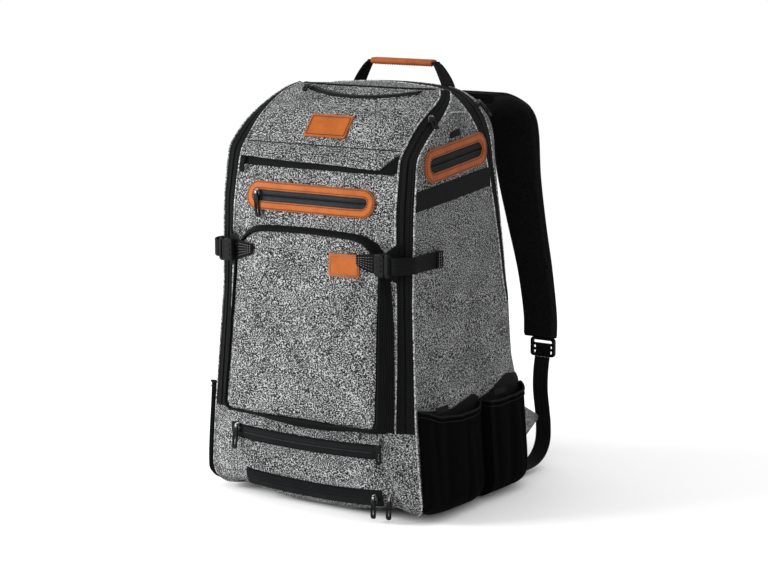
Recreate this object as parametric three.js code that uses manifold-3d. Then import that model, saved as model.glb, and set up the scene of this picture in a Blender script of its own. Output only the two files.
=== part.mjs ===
// A bat backpack that stands on its base: a tall clamshell bag with a sloping top pocket, an arched
// front pocket, mesh side pockets, two padded shoulder straps and a leather-wrapped handle.
// Millimetres, +X to the right seen from the front, +Y to the back panel, +Z up.
// The origin is the centre of the underside. Every cloth piece is a wall of its own, and the bag is
// empty inside.
import * as THREE from 'three';
import { mergeVertices } from 'three/addons/utils/BufferGeometryUtils.js';
import Module from 'manifold-3d';

const wasm = await Module();
wasm.setup();

// The body
const bodyHeight = 484;
const bodyWidth = 296;
const frontReach = 135;
const backReach = 116;
const frontBulge = 14;
const cloth = 2.4;
const gap = 0.3;
const seat = 0.7;
const baseRadius = 24;
const backRadius = 22;
const frontShoulderWidth = 30;
const frontShoulderHeight = 45;
const rearShoulderWidth = 72;
const rearShoulderHeight = 72;
const topRise = 3;
const frontDrop = 3;
const plumpness = 4;

// Half the width at each height, as shares of the body's width and height.
const widthRows = [
  { height: 0.0, width: 1.0 },
  { height: 0.07, width: 1.0 },
  { height: 0.217, width: 0.96 },
  { height: 0.517, width: 0.9 },
  { height: 0.725, width: 0.9 },
  { height: 0.851, width: 0.889 },
  { height: 1.0, width: 0.88 },
];

// The front edge and the swell of the front between its edges, as shares of their two sizes.
const frontRows = [
  { height: 0.0, reach: 0.874, swell: 0.6 },
  { height: 0.025, reach: 0.948, swell: 0.75 },
  { height: 0.068, reach: 0.989, swell: 0.9 },
  { height: 0.217, reach: 1.0, swell: 1.0 },
  { height: 0.517, reach: 0.948, swell: 1.0 },
  { height: 0.723, reach: 0.93, swell: 0.95 },
  { height: 0.812, reach: 0.889, swell: 0.65 },
  { height: 0.851, reach: 0.867, swell: 0.45 },
  { height: 0.878, reach: 0.763, swell: 0.45 },
  { height: 0.9, reach: 0.674, swell: 0.9 },
  { height: 0.934, reach: 0.474, swell: 1.75 },
  { height: 0.961, reach: 0.304, swell: 1.9 },
  { height: 0.982, reach: 0.178, swell: 1.7 },
  { height: 1.0, reach: 0.06, swell: 1.3 },
];

// The seam where the rear zip runs, and the back panel, as shares of the reach of the back.
const rearRows = [
  { height: 0.0, seam: 0.62, back: 0.9 },
  { height: 0.06, seam: 0.69, back: 1.0 },
  { height: 0.248, seam: 0.72, back: 1.0 },
  { height: 0.465, seam: 0.67, back: 0.96 },
  { height: 0.653, seam: 0.483, back: 0.87 },
  { height: 0.802, seam: 0.431, back: 0.83 },
  { height: 0.888, seam: 0.397, back: 0.82 },
  { height: 1.0, seam: 0.362, back: 0.8 },
];

// The zip tapes of the two clamshell openings
const tapeWidth = 20;
const tapeCloth = 1.8;
const frontTapeFoot = bodyHeight * 0.2169;
const rearTapeFoot = bodyHeight * 0.4649;
const flapHalfWidth = 110;
const flapTop = bodyHeight * 0.9928;
const hoodSeam = bodyHeight * 0.8657;

// The hood over the slot below the flap
const hoodDepth = 19;
const hoodStand = 8;
const hoodEndCut = 19;
const liningFoot = bodyHeight * 0.812;
const liningTop = bodyHeight * 0.8368;
const liningHalfWidth = 106;

// The arched front pocket
const pocketHalfWidth = 101;
const pocketFoot = bodyHeight * 0.2231;
const pocketTop = bodyHeight * 0.6612;
const pocketRise = 5;
const pocketTopCorner = 36;
const pocketFootCorner = 10;
const pocketStandTop = 13;
const pocketStandFoot = 17;
const gussetFlare = 9;

// The zips on the front, each a strip that sags in the middle
const zipCloth = 1.6;
const flapZipHalfLength = 82;
const flapZipHeight = bodyHeight * 0.97;
const flapZipRise = 6;
const flapZipWidth = 5;
const lowerZipHalfLength = 105;
const lowerZipHeight = bodyHeight * 0.1632;
const lowerZipRise = 6;
const lowerZipWidth = 8;
const baseZipHalfLength = 97;
const baseZipMiddle = 7;
const baseZipHeight = bodyHeight * 0.0496;
const baseZipRise = 3;
const baseZipWidth = 15;

// The leather frames and labels
const leather = 1.8;
const frontFrameLength = 177;
const frontFrameWidth = 32;
const frontFrameHeight = bodyHeight * 0.7469;
const frontSlotLength = 157;
const frontSlotWidth = 12.5;
const sideFrameLength = 130;
const sideFrameWidth = 38;
const sideFrameMiddle = -38;
const sideFrameTilt = 6;
const sideFrameClearance = 12.5;
const sideSlotLength = 110;
const sideSlotWidth = 17;
const frameCorner = 15;
const frontLabelWidth = 58;
const frontLabelTop = bodyHeight * 0.9318;
const frontLabelFoot = bodyHeight * 0.8843;
const smallLabelWidth = 40;
const smallLabelTall = 25;
const smallLabelMiddle = 56;
const smallLabelHeight = bodyHeight * 0.6023;

// The black bands on the sides
const bandWidth = 22;
const bandFrontHeight = bodyHeight * 0.7531;
const bandRise = 14;
const sideFrameHeight = bandFrontHeight + bandWidth / 2 + sideFrameClearance + sideFrameWidth / 2;

// The mesh pockets
const meshCloth = 2;
const meshFront = -123;
const meshSplit = -1;
const meshRear = 101;
const meshTop = bodyHeight * 0.2624;
const meshBulge = 13;
const meshFootTurn = 1.45;

// The compression straps
const strapHeight = bodyHeight * 0.6116;
const compressionWidth = 22;
const webbing = 2.2;
const buckleLength = 20;
const buckleTall = 28;
const buckleThick = 9;
const tailReach = 52;
const wingTall = 46;
const wingLength = 15;
const tabLength = 20;

// The shoulder straps
const padThick = 13;
const padTopWidth = 66;
const padFootWidth = 44;
const padTopMiddle = 67;
const padFootMiddle = 110;
const padTopHeight = bodyHeight * 0.9669;
const padReach = 197;
const padFootHeight = bodyHeight * 0.3306;
const lockLength = 24;
const lockWidth = 34;
const lockThick = 5;
const lowerWebbingWidth = 25;
const lowerWebbingMiddle = 124;
const anchorTall = 30;
const anchorHeight = bodyHeight * 0.1364;

// The handle
const gripLength = 94;
const gripWidth = 22;
const gripThick = 8;
const handleHeight = 509;
const handleFootHalfSpan = 62;
const handleMiddle = 62;
const handleWebbingWidth = 26;

const materials = {
  canvas: new THREE.MeshStandardMaterial({ color: 0x77787a, roughness: 0.95, metalness: 0 }),
  darkCanvas: new THREE.MeshStandardMaterial({ color: 0x55565a, roughness: 0.95, metalness: 0 }),
  tape: new THREE.MeshStandardMaterial({ color: 0x17181b, roughness: 0.75, metalness: 0 }),
  zip: new THREE.MeshStandardMaterial({ color: 0x141519, roughness: 0.4, metalness: 0 }),
  leather: new THREE.MeshStandardMaterial({ color: 0xd97a35, roughness: 0.55, metalness: 0 }),
  mesh: new THREE.MeshStandardMaterial({ color: 0x0e0e10, roughness: 0.9, metalness: 0 }),
  webbing: new THREE.MeshStandardMaterial({ color: 0x121214, roughness: 0.8, metalness: 0 }),
  plastic: new THREE.MeshStandardMaterial({ color: 0x0c0c0e, roughness: 0.45, metalness: 0 }),
  padding: new THREE.MeshStandardMaterial({ color: 0x111113, roughness: 0.95, metalness: 0 }),
};

const bag = new THREE.Group();
const sides = [{ name: 'right', sign: 1 }, { name: 'left', sign: -1 }];

function add(name, geometry, material) {
  const mesh = new THREE.Mesh(geometry, material);
  mesh.name = name;
  bag.add(mesh);
}

// Reads one column of a table at a height, straight between its rows.
function rowValue(rows, column, share) {
  const last = rows.length - 1;
  const at = THREE.MathUtils.clamp(share, rows[0].height, rows[last].height);
  const upper = Math.max(1, rows.findIndex((row) => row.height >= at));
  const low = rows[upper - 1];
  const high = rows[upper];
  const part = (at - low.height) / (high.height - low.height);
  return THREE.MathUtils.lerp(low[column], high[column], part);
}

function range(from, to, steps) {
  return Array.from({ length: steps + 1 }, (_, k) => from + ((to - from) * k) / steps);
}

// Turns a closed geometry right side out.
function facingOut(geometry) {
  const solid = geometry.index ? geometry : mergeVertices(geometry);
  const position = solid.attributes.position;
  const index = solid.index.array;
  const [a, b, c] = [new THREE.Vector3(), new THREE.Vector3(), new THREE.Vector3()];
  let volume = 0;
  for (let k = 0; k < index.length; k += 3) {
    a.fromBufferAttribute(position, index[k]);
    b.fromBufferAttribute(position, index[k + 1]);
    c.fromBufferAttribute(position, index[k + 2]);
    volume += a.dot(b.cross(c));
  }
  if (volume < 0) {
    for (let k = 0; k < index.length; k += 3) {
      [index[k], index[k + 1]] = [index[k + 1], index[k]];
    }
  }
  solid.computeVertexNormals();
  return solid;
}

function fromPoints(points, triangles) {
  const geometry = new THREE.BufferGeometry();
  geometry.setFromPoints(points);
  geometry.setIndex(triangles);
  return facingOut(geometry);
}

// A wall between two faces of the same grid. A ring closes on itself along u.
function wallBetween(outer, inner, ring) {
  const columns = outer.length;
  const rows = outer[0].length;
  const points = [...outer.flat(), ...inner.flat()];
  const half = columns * rows;
  const at = (i, j) => (i % columns) * rows + j;
  const triangles = [];
  const quad = (p, q, r, s) => triangles.push(p, q, r, p, r, s);
  const spans = ring ? columns : columns - 1;
  for (let i = 0; i < spans; i += 1) {
    for (let j = 0; j < rows - 1; j += 1) {
      quad(at(i, j), at(i + 1, j), at(i + 1, j + 1), at(i, j + 1));
      quad(half + at(i, j), half + at(i, j + 1), half + at(i + 1, j + 1), half + at(i + 1, j));
    }
    quad(at(i, 0), half + at(i, 0), half + at(i + 1, 0), at(i + 1, 0));
    quad(at(i, rows - 1), at(i + 1, rows - 1), half + at(i + 1, rows - 1), half + at(i, rows - 1));
  }
  if (!ring) {
    const end = columns - 1;
    for (let j = 0; j < rows - 1; j += 1) {
      quad(at(0, j), at(0, j + 1), half + at(0, j + 1), half + at(0, j));
      quad(at(end, j), half + at(end, j), half + at(end, j + 1), at(end, j + 1));
    }
  }
  return fromPoints(points, triangles);
}

// A sheet of cloth. pointAt gives its outer face and inwards tells which way its wall goes.
function panel(pointAt, us, vs, wall, inwards, ring = false) {
  const step = 0.001;
  const outer = us.map((u) => vs.map((v) => pointAt(u, v)));
  const inner = us.map((u, i) => vs.map((v, j) => {
    const alongU = pointAt(u + step, v).sub(pointAt(u - step, v));
    const alongV = pointAt(u, v + step).sub(pointAt(u, v - step));
    const normal = alongU.cross(alongV).normalize();
    const side = Math.sign(normal.dot(inwards(outer[i][j]))) || 1;
    return outer[i][j].clone().addScaledVector(normal, side * wall);
  }));
  return wallBetween(outer, inner, ring);
}

// A closed solid through rings of points, with flat ends.
function loft(rings) {
  const count = rings[0].length;
  const points = rings.flat();
  const triangles = [];
  for (let k = 0; k < rings.length - 1; k += 1) {
    for (let i = 0; i < count; i += 1) {
      const next = (i + 1) % count;
      const [p, q] = [k * count + i, k * count + next];
      triangles.push(p, q, q + count, p, q + count, p + count);
    }
  }
  const last = (rings.length - 1) * count;
  for (let i = 1; i < count - 1; i += 1) {
    triangles.push(0, i + 1, i);
    triangles.push(last, last + i, last + i + 1);
  }
  return fromPoints(points, triangles);
}

function toSolid(geometry) {
  const bare = geometry.clone();
  bare.deleteAttribute('normal');
  bare.deleteAttribute('uv');
  const merged = mergeVertices(bare);
  return new wasm.Manifold(new wasm.Mesh({
    numProp: 3,
    vertProperties: Float32Array.from(merged.attributes.position.array),
    triVerts: Uint32Array.from(merged.index.array),
  }));
}

function fromSolid(solid) {
  const mesh = solid.getMesh();
  const geometry = new THREE.BufferGeometry();
  geometry.setAttribute('position', new THREE.BufferAttribute(mesh.vertProperties, 3));
  geometry.setIndex(new THREE.BufferAttribute(mesh.triVerts, 1));
  geometry.computeVertexNormals();
  return geometry;
}

function join(geometries) {
  return fromSolid(geometries.map(toSolid).reduce((whole, next) => whole.add(next)));
}

// Half the width of the body at a height, where shoulder is 0 at the front edge and 1 at the rear seam.
function topHeight(shoulder) {
  return THREE.MathUtils.lerp(bodyHeight - frontDrop, bodyHeight, shoulder);
}

function shoulderAt(shoulder) {
  const wide = THREE.MathUtils.lerp(frontShoulderWidth, rearShoulderWidth, shoulder);
  const tall = THREE.MathUtils.lerp(frontShoulderHeight, rearShoulderHeight, shoulder);
  const rise = topRise * shoulder;
  const start = topHeight(shoulder) - rise - tall;
  return { wide, tall, rise, start, middle: widthAt(start) - wide };
}

function widthAt(z) {
  return (bodyWidth / 2) * rowValue(widthRows, 'width', z / bodyHeight);
}

function halfWidthAt(z, shoulder) {
  if (z < baseRadius) {
    const drop = baseRadius - Math.max(z, 0);
    return widthAt(baseRadius) - baseRadius + Math.sqrt(baseRadius ** 2 - drop ** 2);
  }
  const arc = shoulderAt(shoulder);
  if (z < arc.start) return widthAt(z);
  const share = Math.min((z - arc.start) / arc.tall, 1);
  return arc.middle + arc.wide * Math.sqrt(1 - share ** 2);
}

function frontEdge(z) {
  return -frontReach * rowValue(frontRows, 'reach', z / bodyHeight);
}

function frontFace(x, z) {
  const swell = frontBulge * rowValue(frontRows, 'swell', z / bodyHeight);
  const across = Math.min(Math.abs(x) / halfWidthAt(z, 0), 1);
  return frontEdge(z) - swell * (1 - across ** plumpness);
}

function rearSeam(z) {
  return backReach * rowValue(rearRows, 'seam', z / bodyHeight);
}

function backFace(z) {
  return backReach * rowValue(rearRows, 'back', z / bodyHeight);
}

// The body's outline, walked as five stretches: base, base corner, side, shoulder and top.
function outline(turn, shoulder) {
  const walked = turn > 5 ? 10 - turn : Math.abs(turn);
  const side = turn > 5 || turn < 0 ? -1 : 1;
  const stretch = Math.min(Math.floor(walked), 4);
  const part = walked - stretch;
  const arc = shoulderAt(shoulder);
  const foot = widthAt(baseRadius) - baseRadius;
  if (stretch === 0) return { x: side * foot * part, z: 0 };
  if (stretch === 1) {
    const angle = (part * Math.PI) / 2;
    return { x: side * (foot + baseRadius * Math.sin(angle)), z: baseRadius * (1 - Math.cos(angle)) };
  }
  if (stretch === 2) {
    const z = THREE.MathUtils.lerp(baseRadius, arc.start, part);
    return { x: side * widthAt(z), z };
  }
  if (stretch === 3) {
    const angle = (part * Math.PI) / 2;
    return { x: side * (arc.middle + arc.wide * Math.cos(angle)), z: arc.start + arc.tall * Math.sin(angle) };
  }
  const z = topHeight(shoulder) - arc.rise * (1 - part) ** 2;
  return { x: side * arc.middle * (1 - part), z };
}

function turnAtHeight(z, shoulder) {
  return 2 + (z - baseRadius) / (shoulderAt(shoulder).start - baseRadius);
}

// Room behind the front wall, so that the walls that meet it at its edge stay clear of it.
function setback(z) {
  const step = 1;
  const rise = Math.abs(frontEdge(z + step) - frontEdge(z - step)) / (2 * step);
  return (cloth + gap) * Math.sqrt(1 + rise ** 2) * 1.12;
}

function frontLimit(x, z) {
  const height = Math.min(z, flapTop);
  return frontFace(x, height) + setback(height);
}

function tapeHalf(z) {
  return z > rearTapeFoot - 0.5 ? tapeWidth / 2 + gap : gap / 2;
}

function inwardsOfBody(point) {
  return new THREE.Vector3(-point.x, 0, bodyHeight / 2 - point.z);
}

const toBack = () => new THREE.Vector3(0, 1, 0);
const toFront = () => new THREE.Vector3(0, -1, 0);

// A point on the front, lifted off it by stand.
function onFront(x, z, stand) {
  const step = 0.5;
  const point = new THREE.Vector3(x, frontFace(x, z), z);
  const acrossX = new THREE.Vector3(2 * step, frontFace(x + step, z) - frontFace(x - step, z), 0);
  const acrossZ = new THREE.Vector3(0, frontFace(x, z + step) - frontFace(x, z - step), 2 * step);
  return point.addScaledVector(acrossX.cross(acrossZ).normalize(), stand);
}

// A point on a side, lifted off it by stand.
function sideWidth(y, z) {
  const share = THREE.MathUtils.clamp((y - frontEdge(z)) / (rearSeam(z) - frontEdge(z)), 0, 1);
  return halfWidthAt(z, share);
}

function onSide(sign, y, z, stand) {
  const step = 0.5;
  const slopeY = (sideWidth(y + step, z) - sideWidth(y - step, z)) / (2 * step);
  const slopeZ = (sideWidth(y, z + step) - sideWidth(y, z - step)) / (2 * step);
  const normal = new THREE.Vector3(1, -slopeY, -slopeZ).normalize();
  const point = new THREE.Vector3(sideWidth(y, z), y, z).addScaledVector(normal, stand);
  point.x *= sign;
  return point;
}

// The front walls
function frontHalf(z) {
  return Math.min(flapHalfWidth + Math.max(0, (hoodSeam - z) * 0.03), halfWidthAt(z, 0) - 3);
}

function heightsBetween(from, to, rows) {
  const inside = rows.map((row) => row.height * bodyHeight).filter((z) => z > from + 2 && z < to - 2);
  return [from, ...inside, to];
}

function frontWall(from, to, halfAt, columns, wall) {
  const pointAt = (u, z) => new THREE.Vector3(u * halfAt(z), frontFace(u * halfAt(z), z), z);
  return panel(pointAt, range(-1, 1, columns), heightsBetween(from, to, frontRows), wall, toBack);
}

function addFront() {
  const inner = (z) => frontHalf(z) - gap / 2;
  const whole = (z) => halfWidthAt(z, 0);
  add('front_panel', frontWall(frontTapeFoot + gap, liningTop + 5, inner, 10, cloth), materials.canvas);
  add('top_flap', frontWall(hoodSeam + gap / 2, flapTop, inner, 12, cloth), materials.canvas);
  add('lower_panel', frontWall(0, frontTapeFoot, whole, 16, cloth), materials.canvas);
  for (const { name, sign } of sides) {
    const tapeAt = (u, z) => {
      const x = sign * THREE.MathUtils.lerp(frontHalf(z) + gap / 2, halfWidthAt(z, 0), u);
      return new THREE.Vector3(x, frontFace(x, z), z);
    };
    const heights = heightsBetween(frontTapeFoot + gap, flapTop - gap, frontRows);
    add(`front_tape_${name}`, panel(tapeAt, range(0, 1, 3), heights, tapeCloth, toBack), materials.tape);
  }
}

// The hood lip and the lining that shows under it
function addHood() {
  const lipAt = (u, v) => {
    const z = hoodSeam - gap / 2 - v * hoodDepth;
    const x = u * (frontHalf(hoodSeam) - v * hoodEndCut);
    const stand = THREE.MathUtils.lerp(0, hoodStand, Math.max(v, 0) ** 0.6);
    return new THREE.Vector3(x, frontFace(x, z) - stand, z);
  };
  const vs = [0, 0.35, 0.7, 1];
  add('hood_lip', panel(lipAt, range(-1, 1, 10), vs, cloth, toBack), materials.canvas);
  const liningAt = (u, z) => onFront(u * liningHalfWidth, z, seat + zipCloth);
  const heights = [liningFoot, (liningFoot + liningTop) / 2, liningTop];
  add('hood_lining', panel(liningAt, range(-1, 1, 10), heights, zipCloth, toBack), materials.tape);
}

// The heights where the seam bends, as turns of the outline, with a step at the foot of the rear tape.
function sideTurns(from = baseRadius) {
  const heights = rearRows.map((row) => row.height * bodyHeight);
  const inside = heights.filter((z) => z > from + 3 && z < shoulderAt(1).start - 3);
  const apart = inside.filter((z) => Math.abs(z - rearTapeFoot) > 3);
  const all = from < rearTapeFoot ? [...apart, rearTapeFoot - 1, rearTapeFoot] : apart;
  return all.sort((low, high) => low - high).map((z) => turnAtHeight(z, 1));
}

// The walls round the body
function addBody() {
  const crownTurns = [3.45, 3.6, 3.75, 4, 4.4, 4.7, 5, 5.3, 5.6, 6, 6.25, 6.4, 6.55];
  const shares = [0, 0.25, 0.5, 0.75, 1];
  const between = (turn, share) => {
    const point = outline(turn, share);
    const front = outline(turn, 0);
    const rear = outline(turn, 1);
    const low = frontLimit(front.x, front.z);
    const high = rearSeam(rear.z) - tapeHalf(rear.z);
    return new THREE.Vector3(point.x, THREE.MathUtils.lerp(low, high, share), point.z);
  };
  const seamTurn = (share) => 3.08 + 0.36 * Math.sin((share * Math.PI) / 2);
  const crownAt = (turn, share) => {
    const fromTop = (turn - 5) / 1.55;
    const reach = 5 - seamTurn(share) - 0.01;
    return between(5 + fromTop * reach, share);
  };
  add('crown_panel', panel(crownAt, crownTurns, shares, cloth, inwardsOfBody), materials.canvas);
  for (const { name, sign } of sides) {
    const sideAt = (turn, share) => {
      const scaled = turn <= 3 ? turn : 3 + (turn - 3) * (seamTurn(share) - 3);
      const point = between(scaled, share);
      point.x *= sign;
      return point;
    };
    const turns = [2, ...sideTurns(), 3, 3.5, 4];
    add(`side_panel_${name}`, panel(sideAt, turns, shares, cloth, inwardsOfBody), materials.darkCanvas);
  }
  const baseAt = (turn, share) => {
    const point = outline(turn, share);
    const low = frontLimit(point.x, point.z);
    const high = rearSeam(point.z) - gap / 2;
    return new THREE.Vector3(point.x, THREE.MathUtils.lerp(low, high, share), point.z);
  };
  const baseTurns = [-2, -1.75, -1.5, -1.25, -1, -0.5, 0, 0.5, 1, 1.25, 1.5, 1.75, 2];
  const trimmed = baseTurns.map((turn) => turn * 0.998);
  add('base_panel', panel(baseAt, trimmed, [0, 0.5, 1], cloth, inwardsOfBody), materials.tape);
}

function inset(turn, depth) {
  const step = 0.002;
  const here = outline(turn, 1);
  const before = outline(turn - step, 1);
  const after = outline(turn + step, 1);
  const along = new THREE.Vector2(after.x - before.x, after.z - before.z).normalize();
  return { x: here.x - along.y * depth, z: here.z + along.x * depth };
}

function addRear() {
  const tapeTurns = [
    turnAtHeight(rearTapeFoot + gap, 1), ...sideTurns(rearTapeFoot), 3, 3.25, 3.5, 3.75, 4, 4.4, 4.7,
  ];
  const over = [...tapeTurns, 5, ...tapeTurns.map((turn) => 10 - turn).reverse()];
  const tapeAt = (turn, share) => {
    const point = outline(turn, 1);
    const y = rearSeam(point.z) + (share - 0.5) * tapeWidth;
    return new THREE.Vector3(point.x, y, point.z);
  };
  add('rear_tape', panel(tapeAt, over, [0, 1], tapeCloth, inwardsOfBody), materials.tape);

  const half = [0, 1, 1.25, 1.5, 1.75, 2, ...sideTurns(), 3, 3.25, 3.5, 3.75, 4, 4.4, 4.7];
  const loop = [...half, 5, ...half.slice(1).map((turn) => 10 - turn).reverse()];
  const wallAt = (turn, share) => {
    const flat = outline(turn, 1);
    const start = rearSeam(flat.z) + tapeHalf(flat.z);
    const bend = backFace(flat.z) - backRadius;
    if (share <= 1) return new THREE.Vector3(flat.x, THREE.MathUtils.lerp(start, bend, share), flat.z);
    const angle = ((share - 1) * Math.PI) / 2;
    const point = inset(turn, backRadius * (1 - Math.cos(angle)));
    return new THREE.Vector3(point.x, bend + backRadius * Math.sin(angle), point.z);
  };
  const gussetInwards = (point) => new THREE.Vector3(-point.x, -backReach / 2, bodyHeight / 2 - point.z);
  const shares = [0, 0.999, 1.33, 1.66, 1.97];
  add('rear_gusset', panel(wallAt, loop, shares, cloth, gussetInwards, true), materials.darkCanvas);

  const panelHalf = (z) => {
    const arc = shoulderAt(1);
    if (z < arc.start) return widthAt(z) - backRadius - 2 * gap;
    const tall = arc.tall - backRadius;
    const share = Math.min((z - arc.start) / tall, 1);
    return arc.middle + (arc.wide - backRadius) * Math.sqrt(1 - share ** 2) - 2 * gap;
  };
  const arc = shoulderAt(1);
  const low = backRadius * 1.14;
  const high = arc.start + arc.tall - backRadius - gap;
  const upper = [0, 0.4, 0.7, 0.9, 1].map((share) => THREE.MathUtils.lerp(arc.start, high, share));
  const levels = [low, ...[0.12, 0.25, 0.37, 0.5, 0.62, 0.74].map((share) => share * bodyHeight), ...upper];
  const backAt = (u, z) => new THREE.Vector3(u * panelHalf(z), backFace(z) + 0.5, z);
  add('back_panel', panel(backAt, range(-1, 1, 6), levels, cloth, toFront), materials.padding);
}

// The front pocket
function pocketHalf(z, margin) {
  const half = pocketHalfWidth + margin;
  const overTop = z - (pocketTop + margin - pocketTopCorner);
  const underFoot = pocketFoot - margin + pocketFootCorner - z;
  if (overTop > 0) {
    const share = Math.min(overTop / pocketTopCorner, 1);
    return half - pocketTopCorner * (1 - Math.sqrt(1 - share ** 2));
  }
  if (underFoot > 0) {
    const share = Math.min(underFoot / pocketFootCorner, 1);
    return half - pocketFootCorner * (1 - Math.sqrt(1 - share ** 2));
  }
  return half;
}

function pocketUp(z) {
  return THREE.MathUtils.clamp((z - pocketFoot) / (pocketTop - pocketFoot), 0, 1);
}

function arched(x, z) {
  return z + pocketRise * pocketUp(z) ** 2 * (1 - (x / pocketHalfWidth) ** 2);
}

function pocketFace(x, z) {
  return frontFace(x, z) - THREE.MathUtils.lerp(pocketStandFoot, pocketStandTop, pocketUp(z));
}

// The pocket's outline, walked round anticlockwise from the middle of its foot.
function pocketLoop(margin) {
  const half = pocketHalfWidth + margin;
  const top = pocketTop + margin;
  const foot = pocketFoot - margin;
  const right = [0, 0.3, 0.55, 0.78].map((share) => ({ x: half * share, z: foot }));
  for (const angle of [-90, -45, 0]) {
    const turn = THREE.MathUtils.degToRad(angle);
    right.push({
      x: half - pocketFootCorner + pocketFootCorner * Math.cos(turn),
      z: foot + pocketFootCorner + pocketFootCorner * Math.sin(turn),
    });
  }
  for (const share of [0.25, 0.5, 0.75]) {
    right.push({ x: half, z: THREE.MathUtils.lerp(foot, top - pocketTopCorner, share) });
  }
  for (const angle of [0, 22.5, 45, 67.5, 90]) {
    const turn = THREE.MathUtils.degToRad(angle);
    right.push({
      x: half - pocketTopCorner + pocketTopCorner * Math.cos(turn),
      z: top - pocketTopCorner + pocketTopCorner * Math.sin(turn),
    });
  }
  right.push({ x: half * 0.42, z: top }, { x: half * 0.2, z: top }, { x: 0, z: top });
  const left = right.slice(1, -1).map(({ x, z }) => ({ x: -x, z })).reverse();
  return [...right, ...left].map(({ x, z }) => ({ x, z: arched(x, z) }));
}

function addPocket() {
  const edge = -(cloth + 2 * gap);
  const levels = [
    pocketFoot - edge, pocketFoot + pocketFootCorner * 0.6, pocketFoot + pocketFootCorner,
    pocketFoot * 1.5, pocketFoot * 2, pocketFoot * 2.5,
    pocketTop - pocketTopCorner, pocketTop - 24, pocketTop - 14, pocketTop - 7, pocketTop + edge,
  ];
  const faceAt = (u, z) => {
    const x = u * pocketHalf(z, edge);
    return new THREE.Vector3(x, pocketFace(x, z), arched(x, z));
  };
  add('pocket_face', panel(faceAt, range(-1, 1, 8), levels, cloth, toBack), materials.canvas);

  const stations = [
    { margin: gussetFlare, out: 0 },
    { margin: gussetFlare * 0.45, out: 0.45 },
    { margin: 0, out: 1 },
  ];
  const placed = ({ margin, out }, inside) => pocketLoop(margin - inside).map(({ x, z }) => {
    const near = frontFace(x, z) - seat;
    return new THREE.Vector3(x, THREE.MathUtils.lerp(near, pocketFace(x, z), out), z);
  });
  const grid = (inside) => {
    const rings = stations.map((station) => placed(station, inside));
    return rings[0].map((_, i) => rings.map((ring) => ring[i]));
  };
  add('pocket_gusset', wallBetween(grid(0), grid(cloth), true), materials.tape);
}

function onPocket(x, z, stand) {
  return new THREE.Vector3(x, pocketFace(x, z) - stand, z);
}

// The zips on the front
function addZips() {
  const zips = [
    {
      name: 'flap_zip',
      middle: 0,
      half: flapZipHalfLength,
      z: flapZipHeight,
      rise: flapZipRise,
      width: flapZipWidth,
    },
    {
      name: 'lower_zip',
      middle: 0,
      half: lowerZipHalfLength,
      z: lowerZipHeight,
      rise: lowerZipRise,
      width: lowerZipWidth,
    },
    {
      name: 'base_zip',
      middle: baseZipMiddle,
      half: baseZipHalfLength,
      z: baseZipHeight,
      rise: baseZipRise,
      width: baseZipWidth,
    },
  ];
  for (const { name, middle, half, z, rise, width } of zips) {
    const pointAt = (u, v) => onFront(middle + u * half, z + rise * u ** 2 + v * width, seat + zipCloth);
    add(name, panel(pointAt, range(-1, 1, 12), [-0.5, 0.5], zipCloth, toBack), materials.zip);
  }
}

// The leather frames, each round a slot with its zip
function roundedLoop(length, width, corner) {
  const points = [];
  const turns = [[1, 1, 0], [-1, 1, 90], [-1, -1, 180], [1, -1, 270]];
  for (const [sx, sz, start] of turns) {
    for (const part of [0, 22.5, 45, 67.5, 90]) {
      const turn = THREE.MathUtils.degToRad(start + part);
      points.push({
        x: sx * (length / 2 - corner) + corner * Math.cos(turn),
        z: sz * (width / 2 - corner) + corner * Math.sin(turn),
      });
    }
    if (start % 180 === 0) {
      for (const share of [0.25, 0.5, 0.75]) {
        points.push({ x: sx * (length / 2 - corner) * (1 - 2 * share), z: sz * (width / 2) });
      }
    }
  }
  return points;
}

function frame(length, width, slotLength, slotWidth, place) {
  const outside = roundedLoop(length, width, frameCorner);
  const inside = roundedLoop(slotLength, slotWidth, slotWidth / 2 - gap);
  const face = (stand) => outside.map((point, i) => [point, inside[i]].map((p) => place(p.x, p.z, stand)));
  return wallBetween(face(seat + leather), face(seat), true);
}

function slotZip(length, width, place, inwards) {
  const half = length / 2 - gap;
  const tall = width / 2 - gap;
  const ends = [-1, -0.985, -0.95, -0.6, -0.2, 0.2, 0.6, 0.95, 0.985, 1];
  const tallAt = (x) => {
    const over = Math.max(Math.abs(x) - (half - tall), 0);
    return Math.max(Math.sqrt(Math.max(tall ** 2 - over ** 2, 0)), 1);
  };
  const pointAt = (u, v) => place(u * half, v * tallAt(u * half), seat + zipCloth);
  return panel(pointAt, ends, [-1, 1], zipCloth, inwards);
}

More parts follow.
